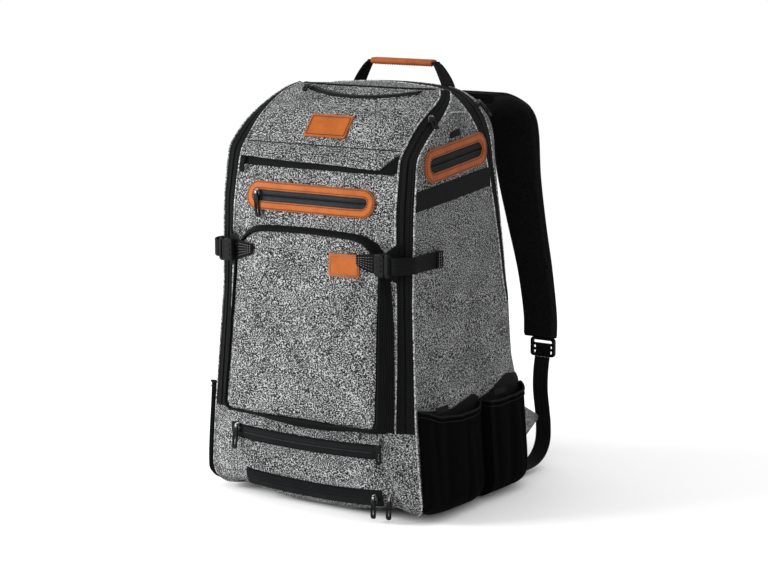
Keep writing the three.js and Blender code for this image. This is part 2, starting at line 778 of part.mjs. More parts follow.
function addFrames() {
  const onFrontFrame = (x, z, stand) => onFront(x, frontFrameHeight + z, stand);
  const front = frame(frontFrameLength, frontFrameWidth, frontSlotLength, frontSlotWidth, onFrontFrame);
  add('front_frame', front, materials.leather);
  add('front_frame_zip', slotZip(frontSlotLength, frontSlotWidth, onFrontFrame, toBack), materials.zip);
  const tilt = THREE.MathUtils.degToRad(sideFrameTilt);
  for (const { name, sign } of sides) {
    const place = (along, up, stand) => {
      const y = sideFrameMiddle + along * Math.cos(tilt) - up * Math.sin(tilt);
      const z = sideFrameHeight + along * Math.sin(tilt) + up * Math.cos(tilt);
      return onSide(sign, y, z, stand);
    };
    const inwards = () => new THREE.Vector3(-sign, 0, 0);
    const side = frame(sideFrameLength, sideFrameWidth, sideSlotLength, sideSlotWidth, place);
    add(`side_frame_${name}`, side, materials.leather);
    add(`side_frame_zip_${name}`, slotZip(sideSlotLength, sideSlotWidth, place, inwards), materials.zip);
    const bandAt = (u, v) => {
      const middle = bandFrontHeight + bandRise * u;
      const low = frontEdge(middle) + setback(middle);
      const high = rearSeam(middle) - tapeHalf(middle);
      return onSide(sign, THREE.MathUtils.lerp(low, high, u), middle + v * bandWidth, seat + zipCloth);
    };
    add(`side_band_${name}`, panel(bandAt, range(0, 1, 4), [-0.5, 0.5], zipCloth, inwards), materials.tape);
  }
}

function addLabels() {
  const largeAt = (u, z) => onFront((u * frontLabelWidth) / 2, z, seat + leather);
  const levels = range(frontLabelFoot, frontLabelTop, 3);
  add('front_label', panel(largeAt, range(-1, 1, 4), levels, leather, toBack), materials.leather);
  const smallAt = (u, v) => onPocket(
    smallLabelMiddle + (u * smallLabelWidth) / 2,
    smallLabelHeight + (v * smallLabelTall) / 2,
    gap + leather,
  );
  add('small_label', panel(smallAt, range(-1, 1, 4), [-1, 1], leather, toBack), materials.leather);
}

// The mesh pockets, which bulge off the sides and turn under the base's corners
function meshPoint(sign, run, turn, stand) {
  const flat = outline(turn, 0);
  const bend = backFace(flat.z) - backRadius;
  const round = Math.max(run - bend, 0) / backRadius;
  const corner = ((Math.min(turn, 2) - 1) * Math.PI) / 2;
  const out = turn < 2 ? Math.sin(corner) : 1;
  const down = turn < 2 ? -Math.cos(corner) : 0;
  const x = flat.x - backRadius * (1 - Math.cos(round)) + stand * out * Math.cos(round);
  const y = Math.min(run, bend) + backRadius * Math.sin(round) + stand * out * Math.sin(round);
  return new THREE.Vector3(sign * x, y, flat.z + stand * down);
}

function addMeshPockets() {
  const pockets = [
    { name: 'front', from: meshFront, to: meshSplit - gap },
    { name: 'rear', from: meshSplit + gap, to: meshRear },
  ];
  const top = turnAtHeight(meshTop, 0);
  const levels = [meshFootTurn, 1.7, 2, 2.07, 2.15, top];
  for (const { name, from, to } of pockets) {
    for (const side of sides) {
      const pointAt = (u, turn) => {
        const up = (turn - meshFootTurn) / (top - meshFootTurn);
        const upwards = Math.sin((Math.PI / 2) * Math.min(1.3 * up, 1));
        const bulge = meshBulge * Math.sin(Math.PI * u) ** 0.7 * upwards;
        const run = THREE.MathUtils.lerp(from, to, THREE.MathUtils.clamp(u, 0, 1));
        return meshPoint(side.sign, run, turn, meshCloth + 2 * gap + bulge);
      };
      const inwards = (point) => new THREE.Vector3(-point.x, Math.min(-point.y, 0), meshTop / 2 - point.z);
      const us = [0.002, 0.06, 0.16, 0.32, 0.5, 0.68, 0.84, 0.94, 0.998];
      const sheet = panel(pointAt, us, levels, meshCloth, inwards);
      add(`mesh_pocket_${name}_${side.name}`, sheet, materials.mesh);
    }
  }
}

// A flat strap that follows a path. Its width lies along across, and its thickness along the path's normal.
function strap(rows, across, thick, corner = 0) {
  const points = rows.map(({ at }) => at);
  return loft(rows.map(({ at, width }, k) => {
    const before = points[Math.max(k - 1, 0)];
    const after = points[Math.min(k + 1, points.length - 1)];
    const along = after.clone().sub(before).normalize();
    const normal = along.clone().cross(across).normalize();
    const [w, t] = [width / 2, thick / 2];
    const section = corner > 0
      ? [[-w, -t + corner], [-w + corner, -t], [w - corner, -t], [w, -t + corner],
        [w, t - corner], [w - corner, t], [-w + corner, t], [-w, t - corner]]
      : [[-w, -t], [w, -t], [w, t], [-w, t]];
    return section.map(([a, b]) => at.clone().addScaledVector(across, a).addScaledVector(normal, b));
  }));
}

function addCompression() {
  const up = new THREE.Vector3(0, 0, 1);
  for (const { name, sign } of sides) {
    const at = (x, y) => new THREE.Vector3(sign * x, y, strapHeight);
    const edge = pocketHalfWidth - cloth;
    const stand = gap + webbing;
    const tabAt = (u, v) => {
      const x = sign * (edge - tabLength * (1 - u));
      return onPocket(x, strapHeight + v * compressionWidth, stand);
    };
    add(`buckle_tab_${name}`, panel(tabAt, [0, 0.5, 1], [-0.5, 0.5], webbing, toBack), materials.webbing);

    const back = pocketFace(edge, strapHeight) - 3 * gap;
    const start = pocketHalfWidth - cloth + 3 * gap;
    const shape = new THREE.Shape();
    const [half, slim] = [buckleTall / 2, compressionWidth / 2];
    shape.moveTo(0, -slim);
    shape.lineTo(buckleLength * 0.3, -half);
    shape.lineTo(buckleLength * 0.7, -half);
    shape.lineTo(buckleLength, -slim);
    shape.lineTo(buckleLength, slim);
    shape.lineTo(buckleLength * 0.7, half);
    shape.lineTo(buckleLength * 0.3, half);
    shape.lineTo(0, slim);
    shape.closePath();
    const body = new THREE.ExtrudeGeometry(shape, { depth: buckleThick, bevelEnabled: false });
    body.rotateX(Math.PI / 2);
    body.scale(sign, 1, 1);
    body.translate(sign * start, back, strapHeight);
    add(`buckle_${name}`, facingOut(clean(body)), materials.plastic);

    const side = sideWidth(frontEdge(strapHeight) + tailReach / 2, strapHeight) + 2 * seat + webbing / 2;
    const corner = frontEdge(strapHeight);
    const path = [
      at(start + buckleLength + gap, back - buckleThick / 2),
      at(start + buckleLength + 6, back - buckleThick / 2 + 1),
      at(side - 1, corner - 14),
      at(side + 2, corner - 4),
      at(side + 1, corner + 8),
      at(side, corner + tailReach * 0.6),
      at(side, corner + tailReach),
    ];
    const rows = path.map((point) => ({ at: point, width: compressionWidth }));
    add(`compression_strap_${name}`, strap(rows, up, webbing), materials.webbing);

    const wingEnd = side - 3;
    const wing = [
      { at: at(wingEnd - wingLength, back + webbing + 2), width: compressionWidth + 2 },
      { at: at(wingEnd, frontFace(wingEnd, strapHeight) - 2 * gap - webbing / 2), width: wingTall },
    ];
    add(`strap_wing_${name}`, strap(wing, up, webbing), materials.webbing);
  }
}

function clean(geometry) {
  geometry.deleteAttribute('normal');
  geometry.deleteAttribute('uv');
  return mergeVertices(geometry);
}

// The shoulder straps. Each row is a share of the reach and of the height between root and foot.
const padRows = [
  { reach: 0.0, height: 1.0, lean: 0.0, width: 1.0 },
  { reach: 0.3, height: 1.0, lean: 0.05, width: 1.0 },
  { reach: 0.62, height: 0.965, lean: 0.12, width: 1.0 },
  { reach: 0.8, height: 0.92, lean: 0.18, width: 0.98 },
  { reach: 0.88, height: 0.84, lean: 0.24, width: 0.95 },
  { reach: 0.89, height: 0.67, lean: 0.36, width: 0.8 },
  { reach: 0.94, height: 0.48, lean: 0.55, width: 0.5 },
  { reach: 1.0, height: 0.28, lean: 0.78, width: 0.2 },
  { reach: 1.0, height: 0.1, lean: 0.95, width: 0.03 },
  { reach: 0.98, height: 0.0, lean: 1.0, width: 0.0 },
];

// The lower webbing from the lock down to the foot of the back, as shares of the lock's height and reach.
const webbingRows = [
  { reach: 0.96, height: 1.0 },
  { reach: 0.9, height: 0.86 },
  { reach: 0.87, height: 0.7 },
  { reach: 0.89, height: 0.52 },
  { reach: 0.9, height: 0.38 },
  { reach: 0.86, height: 0.23 },
  { reach: 0.72, height: 0.12 },
  { reach: 0.5, height: 0.065 },
  { reach: 0.2, height: 0.055 },
  { reach: 0.0, height: 0.06 },
];

function addShoulderStraps() {
  const across = new THREE.Vector3(1, 0, 0);
  const rootY = backFace(padTopHeight - padThick) + 2 * gap + 0.5;
  for (const { name, sign } of sides) {
    const rows = padRows.map(({ reach, height, lean, width }) => ({
      at: new THREE.Vector3(
        sign * THREE.MathUtils.lerp(padTopMiddle, padFootMiddle, lean),
        THREE.MathUtils.lerp(rootY, padReach, reach),
        THREE.MathUtils.lerp(padFootHeight, padTopHeight - padThick / 2, height),
      ),
      width: THREE.MathUtils.lerp(padFootWidth, padTopWidth, width),
    }));
    add(`shoulder_strap_${name}`, strap(rows, across, padThick, padThick * 0.3), materials.padding);

    const foot = rows[rows.length - 1].at;
    const lockTop = foot.z - gap * 2;
    const lock = [0, 1].map((part) => ({
      at: new THREE.Vector3(foot.x + sign * 4, foot.y, lockTop - part * lockLength),
      width: lockWidth,
    }));
    add(`ladder_lock_${name}`, strap(lock, across, lockThick, 1.2), materials.plastic);

    const top = lockTop - lockLength - gap;
    const endY = backFace(0) - 4.5;
    const webRows = webbingRows.map(({ reach, height }) => ({
      at: new THREE.Vector3(
        sign * THREE.MathUtils.lerp(foot.x * sign + 4, lowerWebbingMiddle, 1 - height),
        THREE.MathUtils.lerp(endY, padReach, reach),
        top * height,
      ),
      width: lowerWebbingWidth,
    }));
    add(`lower_webbing_${name}`, strap(webRows, across, webbing), materials.webbing);

    const tipY = THREE.MathUtils.lerp(endY, padReach, 0.89) - webbing / 2 - 2 * gap;
    const anchorX = sign * (lowerWebbingMiddle + 3);
    const baseY = backFace(anchorHeight) + gap;
    const anchor = [
      { at: new THREE.Vector3(anchorX, baseY, anchorHeight), width: anchorTall * 1.8 },
      { at: new THREE.Vector3(anchorX, tipY, anchorHeight), width: anchorTall * 0.2 },
    ];
    add(`strap_anchor_${name}`, strap(anchor, new THREE.Vector3(0, 0, 1), cloth), materials.darkCanvas);
  }
}

// The handle: a webbing that stands on the top, through a leather grip
function addHandle() {
  const across = new THREE.Vector3(0, 1, 0);
  const halfGrip = gripLength / 2;
  const tops = [3.5, 3.75, 4, 4.4, 4.7, 5].map((turn) => outline(turn, 1));
  const topAt = (x) => {
    const inner = tops.findIndex((point) => point.x <= x);
    const [out, back] = [tops[inner - 1], tops[inner]];
    return THREE.MathUtils.lerp(back.z, out.z, (x - back.x) / (out.x - back.x));
  };
  const lift = gap + webbing / 2;
  const half = [
    { x: handleFootHalfSpan + 14, z: topAt(handleFootHalfSpan + 14) + lift, width: handleWebbingWidth },
    { x: handleFootHalfSpan, z: topAt(handleFootHalfSpan) + lift, width: handleWebbingWidth },
    { x: handleFootHalfSpan - 7, z: topAt(handleFootHalfSpan) + 9, width: handleWebbingWidth * 0.85 },
    { x: halfGrip + 4, z: handleHeight - gripThick / 2 - 3, width: gripWidth * 0.75 },
    { x: halfGrip + 1, z: handleHeight - gripThick / 2, width: gripWidth * 0.72 },
    { x: halfGrip - 2, z: handleHeight - gripThick / 2, width: gripWidth * 0.7 },
  ];
  const toRow = (sign) => ({ x, z, width }) => ({ at: new THREE.Vector3(sign * x, handleMiddle, z), width });
  const rows = [...half.map(toRow(-1)), ...half.map(toRow(1)).reverse()];
  add('handle_webbing', strap(rows, across, webbing), materials.webbing);

  const section = (width, thick, x) => {
    const loop = roundedLoop(width, thick, Math.min(thick, width) / 2 - 0.1);
    const middle = handleHeight - gripThick / 2;
    return loop.map((point) => new THREE.Vector3(x, handleMiddle + point.x, middle + point.z));
  };
  const stations = [-halfGrip, -halfGrip / 2, 0, halfGrip / 2, halfGrip];
  const grid = (width, thick) => {
    const rings = stations.map((x) => section(width, thick, x));
    return rings[0].map((_, i) => rings.map((ring) => ring[i]));
  };
  const bore = grid(gripWidth * 0.75 + 2 * gap, webbing + 2 * gap);
  add('handle_grip', wallBetween(grid(gripWidth, gripThick), bore, true), materials.leather);
}

// The sliders: a small body with a pull that hangs from it
function slider(pull) {
  const block = (width, tall, depth) => {
    const shape = new THREE.Shape();
    shape.moveTo(-width / 2, -tall / 2);
    shape.lineTo(width / 2, -tall / 2);
    shape.lineTo(width / 2, tall / 2);
    shape.lineTo(-width / 2, tall / 2);
    shape.closePath();
    const solid = new THREE.ExtrudeGeometry(shape, { depth, bevelEnabled: false });
    return solid;
  };
  const body = block(7, 10, 3.4);
  const tab = block(5, pull, 2);
  tab.translate(0, -pull / 2, 2.6);
  return join([body, tab]);
}

function addSliders() {
  const lift = seat + gap + zipCloth + 0.4;
  const placeAt = (name, pull, point, outwards, upwards) => {
    const z = outwards.clone().normalize();
    const x = upwards.clone().cross(z).normalize();
    const y = z.clone().cross(x);
    const mesh = new THREE.Mesh(slider(pull), materials.plastic);
    mesh.name = name;
    mesh.quaternion.setFromRotationMatrix(new THREE.Matrix4().makeBasis(x, y, z));
    mesh.position.copy(point);
    bag.add(mesh);
  };
  const up = new THREE.Vector3(0, 0, 1);
  const forward = new THREE.Vector3(0, -1, 0);
  const frontNormal = (x, z) => onFront(x, z, 1).sub(onFront(x, z, 0));
  const flapX = -flapZipHalfLength + 6;
  const flapZ = flapZipHeight + flapZipRise * (flapX / flapZipHalfLength) ** 2;
  const slope = onFront(flapX, flapZ + 1, 0).sub(onFront(flapX, flapZ - 1, 0));
  placeAt('flap_slider', 14, onFront(flapX, flapZ, lift), frontNormal(flapX, flapZ), slope);
  const frameX = -frontSlotLength / 2 + 6;
  const frameLift = seat + leather + 1;
  placeAt('frame_slider', 28, onFront(frameX, frontFrameHeight, frameLift), forward, up);
  const lowX = -lowerZipHalfLength + 5;
  placeAt('lower_slider', 26, onFront(lowX, lowerZipHeight + lowerZipRise, lift), forward, up);
  for (const [name, x] of [['base_slider_left', 82], ['base_slider_right', 100]]) {
    const z = baseZipHeight + baseZipRise * ((x - baseZipMiddle) / baseZipHalfLength) ** 2;
    placeAt(name, 22, onFront(x, z, lift + 1.2), forward, up);
  }
  const cornerX = pocketHalfWidth + 1;
  const cornerZ = pocketFoot - gussetFlare - 7;
  const cornerNormal = frontNormal(cornerX, cornerZ);
  placeAt('pocket_slider', 24, onFront(cornerX, cornerZ, lift - gap), cornerNormal, up);

  // The two clamshell zips end with their sliders on the right shoulder.
  const frontZ = hoodSeam + (flapTop - hoodSeam) / 2;
  const frontX = (frontHalf(frontZ) + halfWidthAt(frontZ, 0)) / 2;
  placeAt('front_slider', 20, onFront(frontX, frontZ, 2 * gap), frontNormal(frontX, frontZ), up);
  const rear = outline(3.5, 1);
  const rearNormal = new THREE.Vector3(1, 0, 1).normalize();
  const rearPoint = new THREE.Vector3(rear.x, rearSeam(rear.z), rear.z).addScaledVector(rearNormal, gap);
  placeAt('rear_slider', 22, rearPoint, rearNormal, new THREE.Vector3(-1, 0, 1));
}

addFront();
addHood();
addBody();
addRear();
addPocket();
addZips();
addFrames();
addLabels();
addMeshPockets();
addCompression();
addShoulderStraps();
addHandle();
addSliders();

export default bag;
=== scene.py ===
import math

import bpy
import numpy as np
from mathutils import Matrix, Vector


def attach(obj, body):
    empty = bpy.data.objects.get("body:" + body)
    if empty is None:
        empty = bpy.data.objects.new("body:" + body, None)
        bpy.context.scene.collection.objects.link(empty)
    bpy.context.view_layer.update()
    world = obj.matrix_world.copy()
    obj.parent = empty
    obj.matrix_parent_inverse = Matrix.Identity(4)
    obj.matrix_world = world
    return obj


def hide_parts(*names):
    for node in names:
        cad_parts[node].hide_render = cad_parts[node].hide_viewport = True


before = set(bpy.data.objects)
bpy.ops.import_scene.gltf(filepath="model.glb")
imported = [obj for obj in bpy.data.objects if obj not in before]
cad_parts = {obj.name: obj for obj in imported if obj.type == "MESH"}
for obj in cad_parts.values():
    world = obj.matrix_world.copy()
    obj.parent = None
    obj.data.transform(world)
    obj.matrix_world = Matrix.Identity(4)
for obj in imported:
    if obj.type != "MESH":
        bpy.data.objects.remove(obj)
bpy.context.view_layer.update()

METRE = 0.001
SHARP_ANGLE = math.radians(42.0)
TUBE_END = 0.55
STITCH_SINK = 0.1

# The body, with the part's own sizes
BODY_HEIGHT = 484.0
BODY_WIDTH = 296.0
FRONT_REACH = 135.0
BACK_REACH = 116.0
FRONT_BULGE = 14.0
CLOTH = 2.4
TAPE_CLOTH = 1.8
STRIP_CLOTH = 1.2
BASE_RADIUS = 24.0
BACK_RADIUS = 22.0
FRONT_SHOULDER = (30.0, 45.0)
REAR_SHOULDER = (72.0, 72.0)
TOP_RISE = 3.0
FRONT_DROP = 3.0
PLUMPNESS = 4
TAPE_WIDTH = 20.0
FRONT_TAPE_FOOT = 105.0
REAR_TAPE_FOOT = 225.0
FLAP_HALF_WIDTH = 110.0
FLAP_TOP = 480.5
FLAP_CORNER = 17.0
PANEL_TOP = 410.0
HOOD_SEAM = 419.0
HOOD_DEPTH = 19.0
HOOD_STAND = 8.0
HOOD_END_CUT = 19.0
POCKET_HALF_WIDTH = 101.0
POCKET_FOOT = 108.0
POCKET_TOP = 320.0
POCKET_RISE = 5.0
POCKET_TOP_CORNER = 36.0
POCKET_FOOT_CORNER = 10.0
POCKET_STAND_TOP = 9.0
POCKET_STAND_FOOT = 18.0
POCKET_SPREAD = 0.085
GUSSET_FLARE = 9.0
FRAME_CORNER = 15.0
STRAP_HEIGHT = 296.0

WIDTH_ROWS = {
    "height": [0.0, 0.07, 0.217, 0.517, 0.725, 0.851, 1.0],
    "width": [1.0, 1.0, 0.96, 0.9, 0.9, 0.889, 0.88],
}
FRONT_ROWS = {
    "height": [0.0, 0.025, 0.068, 0.217, 0.517, 0.723, 0.812, 0.851, 0.878, 0.9, 0.934, 0.961, 0.982, 1.0],
    "reach": [0.874, 0.948, 0.989, 1.0, 0.948, 0.93, 0.889, 0.867, 0.763, 0.674, 0.474, 0.304, 0.178, 0.06],
    "swell": [0.6, 0.75, 0.9, 1.0, 1.0, 0.95, 0.65, 0.45, 0.45, 0.9, 1.75, 1.9, 1.7, 1.3],
}
REAR_ROWS = {
    "height": [0.0, 0.06, 0.248, 0.465, 0.653, 0.802, 0.888, 1.0],
    "seam": [0.62, 0.69, 0.72, 0.67, 0.483, 0.431, 0.397, 0.362],
    "back": [0.9, 1.0, 1.0, 0.96, 0.87, 0.83, 0.82, 0.8],
}
SEAM_SHIFT = {
    "height": [180, 230, 310, 343, 361, 390, 409, 431, 451, 470],
    "back": [0.0, 3.0, 4.0, -1.0, -5.0, -9.0, -10.0, -8.0, -3.0, 0.0],
}
BACK_CURVE = {
    "turn": [1.0, 2.0, 2.2, 2.35, 3.0, 3.4, 4.0],
    "depth": [22.0, 22.0, 24.0, 40.0, 40.0, 32.0, 22.0],
    "power": [2.0, 2.0, 2.0, 1.5, 1.5, 1.6, 2.0],
}
SIDES = (("right", 1.0), ("left", -1.0))


def mix(low, high, share):
    return low + (high - low) * share


def smoothed(rows, column, soften=5.0):
    """One column of a table at every millimetre of height, with its bends rounded."""
    heights = np.arange(0.0, BODY_HEIGHT + 1.0)
    values = np.interp(heights / BODY_HEIGHT, rows["height"], rows[column])
    reach = int(3 * soften)
    offsets = np.arange(-reach, reach + 1)
    weights = np.exp(-0.5 * (offsets / soften) ** 2)
    longer = np.pad(values, reach, mode="reflect", reflect_type="odd")
    return np.convolve(longer, weights / weights.sum(), mode="valid")


WIDTHS = smoothed(WIDTH_ROWS, "width")
REACHES = smoothed(FRONT_ROWS, "reach")
SWELLS = smoothed(FRONT_ROWS, "swell")
SEAMS = smoothed(REAR_ROWS, "seam")
BACKS = smoothed(REAR_ROWS, "back")
HEIGHTS = np.arange(0.0, BODY_HEIGHT + 1.0)


def waves(points, size, seed, count=7):
    """Smooth, repeatable unevenness between about -1 and 1."""
    chance = np.random.RandomState(seed)
    total = 0.0
    for _ in range(count):
        direction = chance.normal(size=3)
        direction /= np.linalg.norm(direction)
        pitch = size * chance.uniform(0.6, 1.5)
        total = total + np.sin(points @ direction * 2 * math.pi / pitch + chance.uniform(0, 2 * math.pi))
    return total / math.sqrt(count * 2.0)


def slack(points):
    """How far the cloth sinks at a place, in millimetres."""
    broad = waves(points, 120.0, 3)
    small = waves(points, 34.0, 8)
    return 0.55 * broad + 0.22 * small - 0.3


def top_height(share):
    return mix(BODY_HEIGHT - FRONT_DROP, BODY_HEIGHT, share)


def width_at(z):
    return BODY_WIDTH / 2 * np.interp(z, HEIGHTS, WIDTHS)


def shoulder(share):
    wide = mix(FRONT_SHOULDER[0], REAR_SHOULDER[0], share)
    tall = mix(FRONT_SHOULDER[1], REAR_SHOULDER[1], share)
    rise = TOP_RISE * share
    start = top_height(share) - rise - tall
    return wide, tall, rise, start, width_at(start) - wide


def half_width(z, share):
    wide, tall, _, start, middle = shoulder(share)
    drop = np.clip(BASE_RADIUS - z, 0, BASE_RADIUS)
    foot = width_at(BASE_RADIUS) - BASE_RADIUS + np.sqrt(BASE_RADIUS**2 - drop**2)
    up = np.clip((z - start) / tall, 0, 1)
    top = middle + wide * np.sqrt(1 - up**2)
    return np.where(z < BASE_RADIUS, foot, np.where(z < start, width_at(z), top))


def front_edge(z):
    return -FRONT_REACH * np.interp(z, HEIGHTS, REACHES)


def front_skin(x, z):
    """The front without the slack of its cloth."""
    swell = FRONT_BULGE * np.interp(z, HEIGHTS, SWELLS)
    across = np.clip(np.abs(x) / half_width(z, 0.0), 0, 1)
    return front_edge(z) - swell * (1 - across**PLUMPNESS)


def spot(x, z, middle, size):
    return np.exp(-(((x - middle[0]) / size[0]) ** 2) - ((z - middle[1]) / size[1]) ** 2)


def furrow(x, z, start, end, width):
    """A groove between two points of the front, 1 at its middle."""
    a = np.array(start)
    along = np.array(end) - a
    length = np.hypot(*along)
    along = along / length
    run = (x - a[0]) * along[0] + (z - a[1]) * along[1]
    off = (x - a[0]) * -along[1] + (z - a[1]) * along[0]
    ends = np.clip(run / 12, 0, 1) * np.clip((length - run) / 12, 0, 1)
    return np.exp(-((off / width) ** 2)) * ends


def front_face(x, z):
    """The front with its slack, creases and soft hollows."""
    x, z = np.broadcast_arrays(np.asarray(x, float), np.asarray(z, float))
    skin = front_skin(x, z)
    points = np.stack([x, skin, z], -1)
    sink = -slack(points)
    sink = sink + 4.6 * furrow(x, z, (98, 84), (122, 12), 6.0) - 2.4 * furrow(x, z, (110, 84), (133, 14), 6.0)
    sink = sink + 2.0 * furrow(x, z, (-122, 96), (-98, 14), 7.0)
    sink = sink + 2.2 * furrow(x, z, (-100, 478), (-93, 455), 2.4)
    sink = sink + 1.8 * furrow(x, z, (-106, 474), (-101, 452), 2.2)
    sink = sink + 1.6 * spot(x, z, (84, 392), (22, 9)) - 0.8 * spot(x, z, (20, 445), (60, 14))
    sink = sink + 1.2 * furrow(x, z, (60, 352), (96, 376), 7.0)
    return skin + sink


def rear_seam(z):
    shift = np.interp(z, SEAM_SHIFT["height"], SEAM_SHIFT["back"])
    return BACK_REACH * np.interp(z, HEIGHTS, SEAMS) + shift


def back_face(z):
    return BACK_REACH * np.interp(z, HEIGHTS, BACKS)


def outline(turn, share):
    """The body's outline, walked as base, base corner, side, shoulder and top. Returns x and z."""
    turn, share = np.broadcast_arrays(np.asarray(turn, float), np.asarray(share, float))
    walked = np.where(turn > 5, 10 - turn, np.abs(turn))
    side = np.where((turn > 5) | (turn < 0), -1.0, 1.0)
    stretch = np.minimum(np.floor(walked), 4)
    part = walked - stretch
    wide, tall, rise, start, middle = shoulder(share)
    foot = width_at(BASE_RADIUS) - BASE_RADIUS
    angle = part * math.pi / 2
    side_z = mix(BASE_RADIUS, start, part)
    x = np.select(
        [stretch == 0, stretch == 1, stretch == 2, stretch == 3],
        [foot * part, foot + BASE_RADIUS * np.sin(angle), width_at(side_z), middle + wide * np.cos(angle)],
        middle * (1 - part),
    )
    z = np.select(
        [stretch == 0, stretch == 1, stretch == 2, stretch == 3],
        [0.0 * part, BASE_RADIUS * (1 - np.cos(angle)), side_z, start + tall * np.sin(angle)],
        top_height(share) - rise * (1 - part) ** 2,
    )
    return side * x, z


def turn_at(z, share):
    return 2 + (z - BASE_RADIUS) / (shoulder(share)[3] - BASE_RADIUS)


def setback(z):
    rise = np.abs(front_edge(z + 1) - front_edge(z - 1)) / 2
    return 0.8 * np.sqrt(1 + rise**2)


def lifted(x, y, z):
    """The lower edge of the front, raised between its corners and most beside the ends of the zip."""
    rise = 4 + 10 * np.exp(-(((np.abs(x) - 105) / 20) ** 2)) + 3 * np.exp(-(((np.abs(x) - 72) / 18) ** 2))
    near = np.clip(1 - (y - front_edge(0.0)) / 45, 0, 1) ** 1.5
    return z + rise * np.clip(1 - z / 32, 0, 1) ** 1.5 * near


def front_limit(x, z):
    height = np.minimum(z, FLAP_TOP)
    return front_skin(x, height) + setback(height)


def tape_front(z):
    """How far the rear tape reaches in front of its seam. It is wider over the shoulders."""
    heights = [REAR_TAPE_FOOT - 0.6, REAR_TAPE_FOOT - 0.5, 380, 409, 430, 455, 484]
    return np.interp(z, heights, [0.0, 10.0, 10.0, 14.0, 24.0, 32.0, 31.0])


def tape_back(z):
    return np.where(z > REAR_TAPE_FOOT - 0.5, TAPE_WIDTH / 2, 0.0)


def curve_start(z):
    return rear_seam(z) - np.maximum(tape_front(z), 10.0)


def back_curve(turn, y):
    """How far the walls have turned in towards the back panel at a depth y."""
    walked = np.where(turn > 5, 10 - turn, np.abs(turn))
    _, z = outline(turn, 1.0)
    depth = np.interp(walked, BACK_CURVE["turn"], BACK_CURVE["depth"])
    power = np.interp(walked, BACK_CURVE["turn"], BACK_CURVE["power"])
    share = np.clip((y - curve_start(z)) / (back_face(z) - curve_start(z)), 0, 1)
    return depth * (1 - (1 - share**power) ** (1 / power))


def normals(grid, ring=False):
    """Unit normals of a grid of points."""
    if ring:
        along = np.roll(grid, -1, 0) - np.roll(grid, 1, 0)
    else:
        along = np.gradient(grid, axis=0)
    across = np.gradient(grid, axis=1)
    out = np.cross(along, across)
    return out / np.maximum(np.linalg.norm(out, axis=-1, keepdims=True), 1e-9)


def on_front(x, z, stand):
    """Points on the front, lifted off it."""
    x, z = np.broadcast_arrays(np.asarray(x, float), np.asarray(z, float))
    step = 1.0
    y = front_face(x, z)
    slope_x = (front_face(x + step, z) - front_face(x - step, z)) / (2 * step)
    slope_z = (front_face(x, z + step) - front_face(x, z - step)) / (2 * step)
    normal = np.stack([slope_x, -np.ones_like(y), slope_z], -1)
    normal /= np.linalg.norm(normal, axis=-1, keepdims=True)
    return np.stack([x, y, z], -1) + normal * np.asarray(stand)[..., None]


def side_width(y, z):
    share = np.clip((y - front_edge(z)) / (rear_seam(z) - front_edge(z)), 0, 1)
    flat = half_width(z, share)
    return flat + slack(np.stack([flat, y, z], -1))


def on_side(sign, y, z, stand):
    """Points on a side, lifted off it."""
    y, z = np.broadcast_arrays(np.asarray(y, float), np.asarray(z, float))
    step = 1.0
    slope_y = (side_width(y + step, z) - side_width(y - step, z)) / (2 * step)
    slope_z = (side_width(y, z + step) - side_width(y, z - step)) / (2 * step)
    normal = np.stack([np.ones_like(y), -slope_y, -slope_z], -1)
    normal /= np.linalg.norm(normal, axis=-1, keepdims=True)
    points = np.stack([side_width(y, z), y, z], -1) + normal * np.asarray(stand)[..., None]
    return points * np.array([sign, 1.0, 1.0])


def front_half(z):
    """Half the width of the front between its two zip tapes. The flap's top corners are round."""
    round_share = np.clip((z - FLAP_TOP + FLAP_CORNER) / FLAP_CORNER, 0, 1)
    cut = FLAP_CORNER * (1 - np.sqrt(1 - np.minimum(round_share, 0.97) ** 2))
    half = FLAP_HALF_WIDTH + np.maximum(0, (HOOD_SEAM - z) * 0.03) - cut
    return np.minimum(half, half_width(z, 0.0) - 3)


def pocket_half(z, margin):
    half = POCKET_HALF_WIDTH + margin
    over = np.clip((z - (POCKET_TOP + margin - POCKET_TOP_CORNER)) / POCKET_TOP_CORNER, 0, 1)
    under = np.clip((POCKET_FOOT - margin + POCKET_FOOT_CORNER - z) / POCKET_FOOT_CORNER, 0, 1)
    top_cut = POCKET_TOP_CORNER * (1 - np.sqrt(1 - over**2))
    foot_cut = POCKET_FOOT_CORNER * (1 - np.sqrt(1 - under**2))
    return half - top_cut - foot_cut


def pocket_up(z):
    return np.clip((z - POCKET_FOOT) / (POCKET_TOP - POCKET_FOOT), 0, 1)


def arched(x, z):
    return z + POCKET_RISE * pocket_up(z) ** 2 * (1 - (x / POCKET_HALF_WIDTH) ** 2)


def spread(z):
    return 1 + POCKET_SPREAD * (1 - pocket_up(z)) ** 1.2


def pocket_skin(x, z):
    return front_skin(x, z) - mix(POCKET_STAND_FOOT, POCKET_STAND_TOP, pocket_up(z))


def pocket_front(x, z):
    """The pocket's face with its slack. It falls in a little beside the compression straps."""
    x, z = np.broadcast_arrays(np.asarray(x, float), np.asarray(z, float))
    skin = pocket_skin(x, z)
    points = np.stack([x, skin, z], -1)
    sink = -0.8 * waves(points, 95.0, 21) - 0.3 * waves(points, 30.0, 5) + 0.2
    sink = sink + 2.6 * spot(x, z, (78, 262), (16, 26)) + 1.2 * spot(x, z, (-80, 262), (14, 24))
    sink = sink + 2.8 * furrow(x, z, (88, 288), (60, 205), 8.0)
    sink = sink - 1.2 * furrow(x, z, (74, 292), (44, 222), 8.0)
    return skin + sink


# Shapes: each is a list of points in millimetres, faces, and one texture point for each face corner.


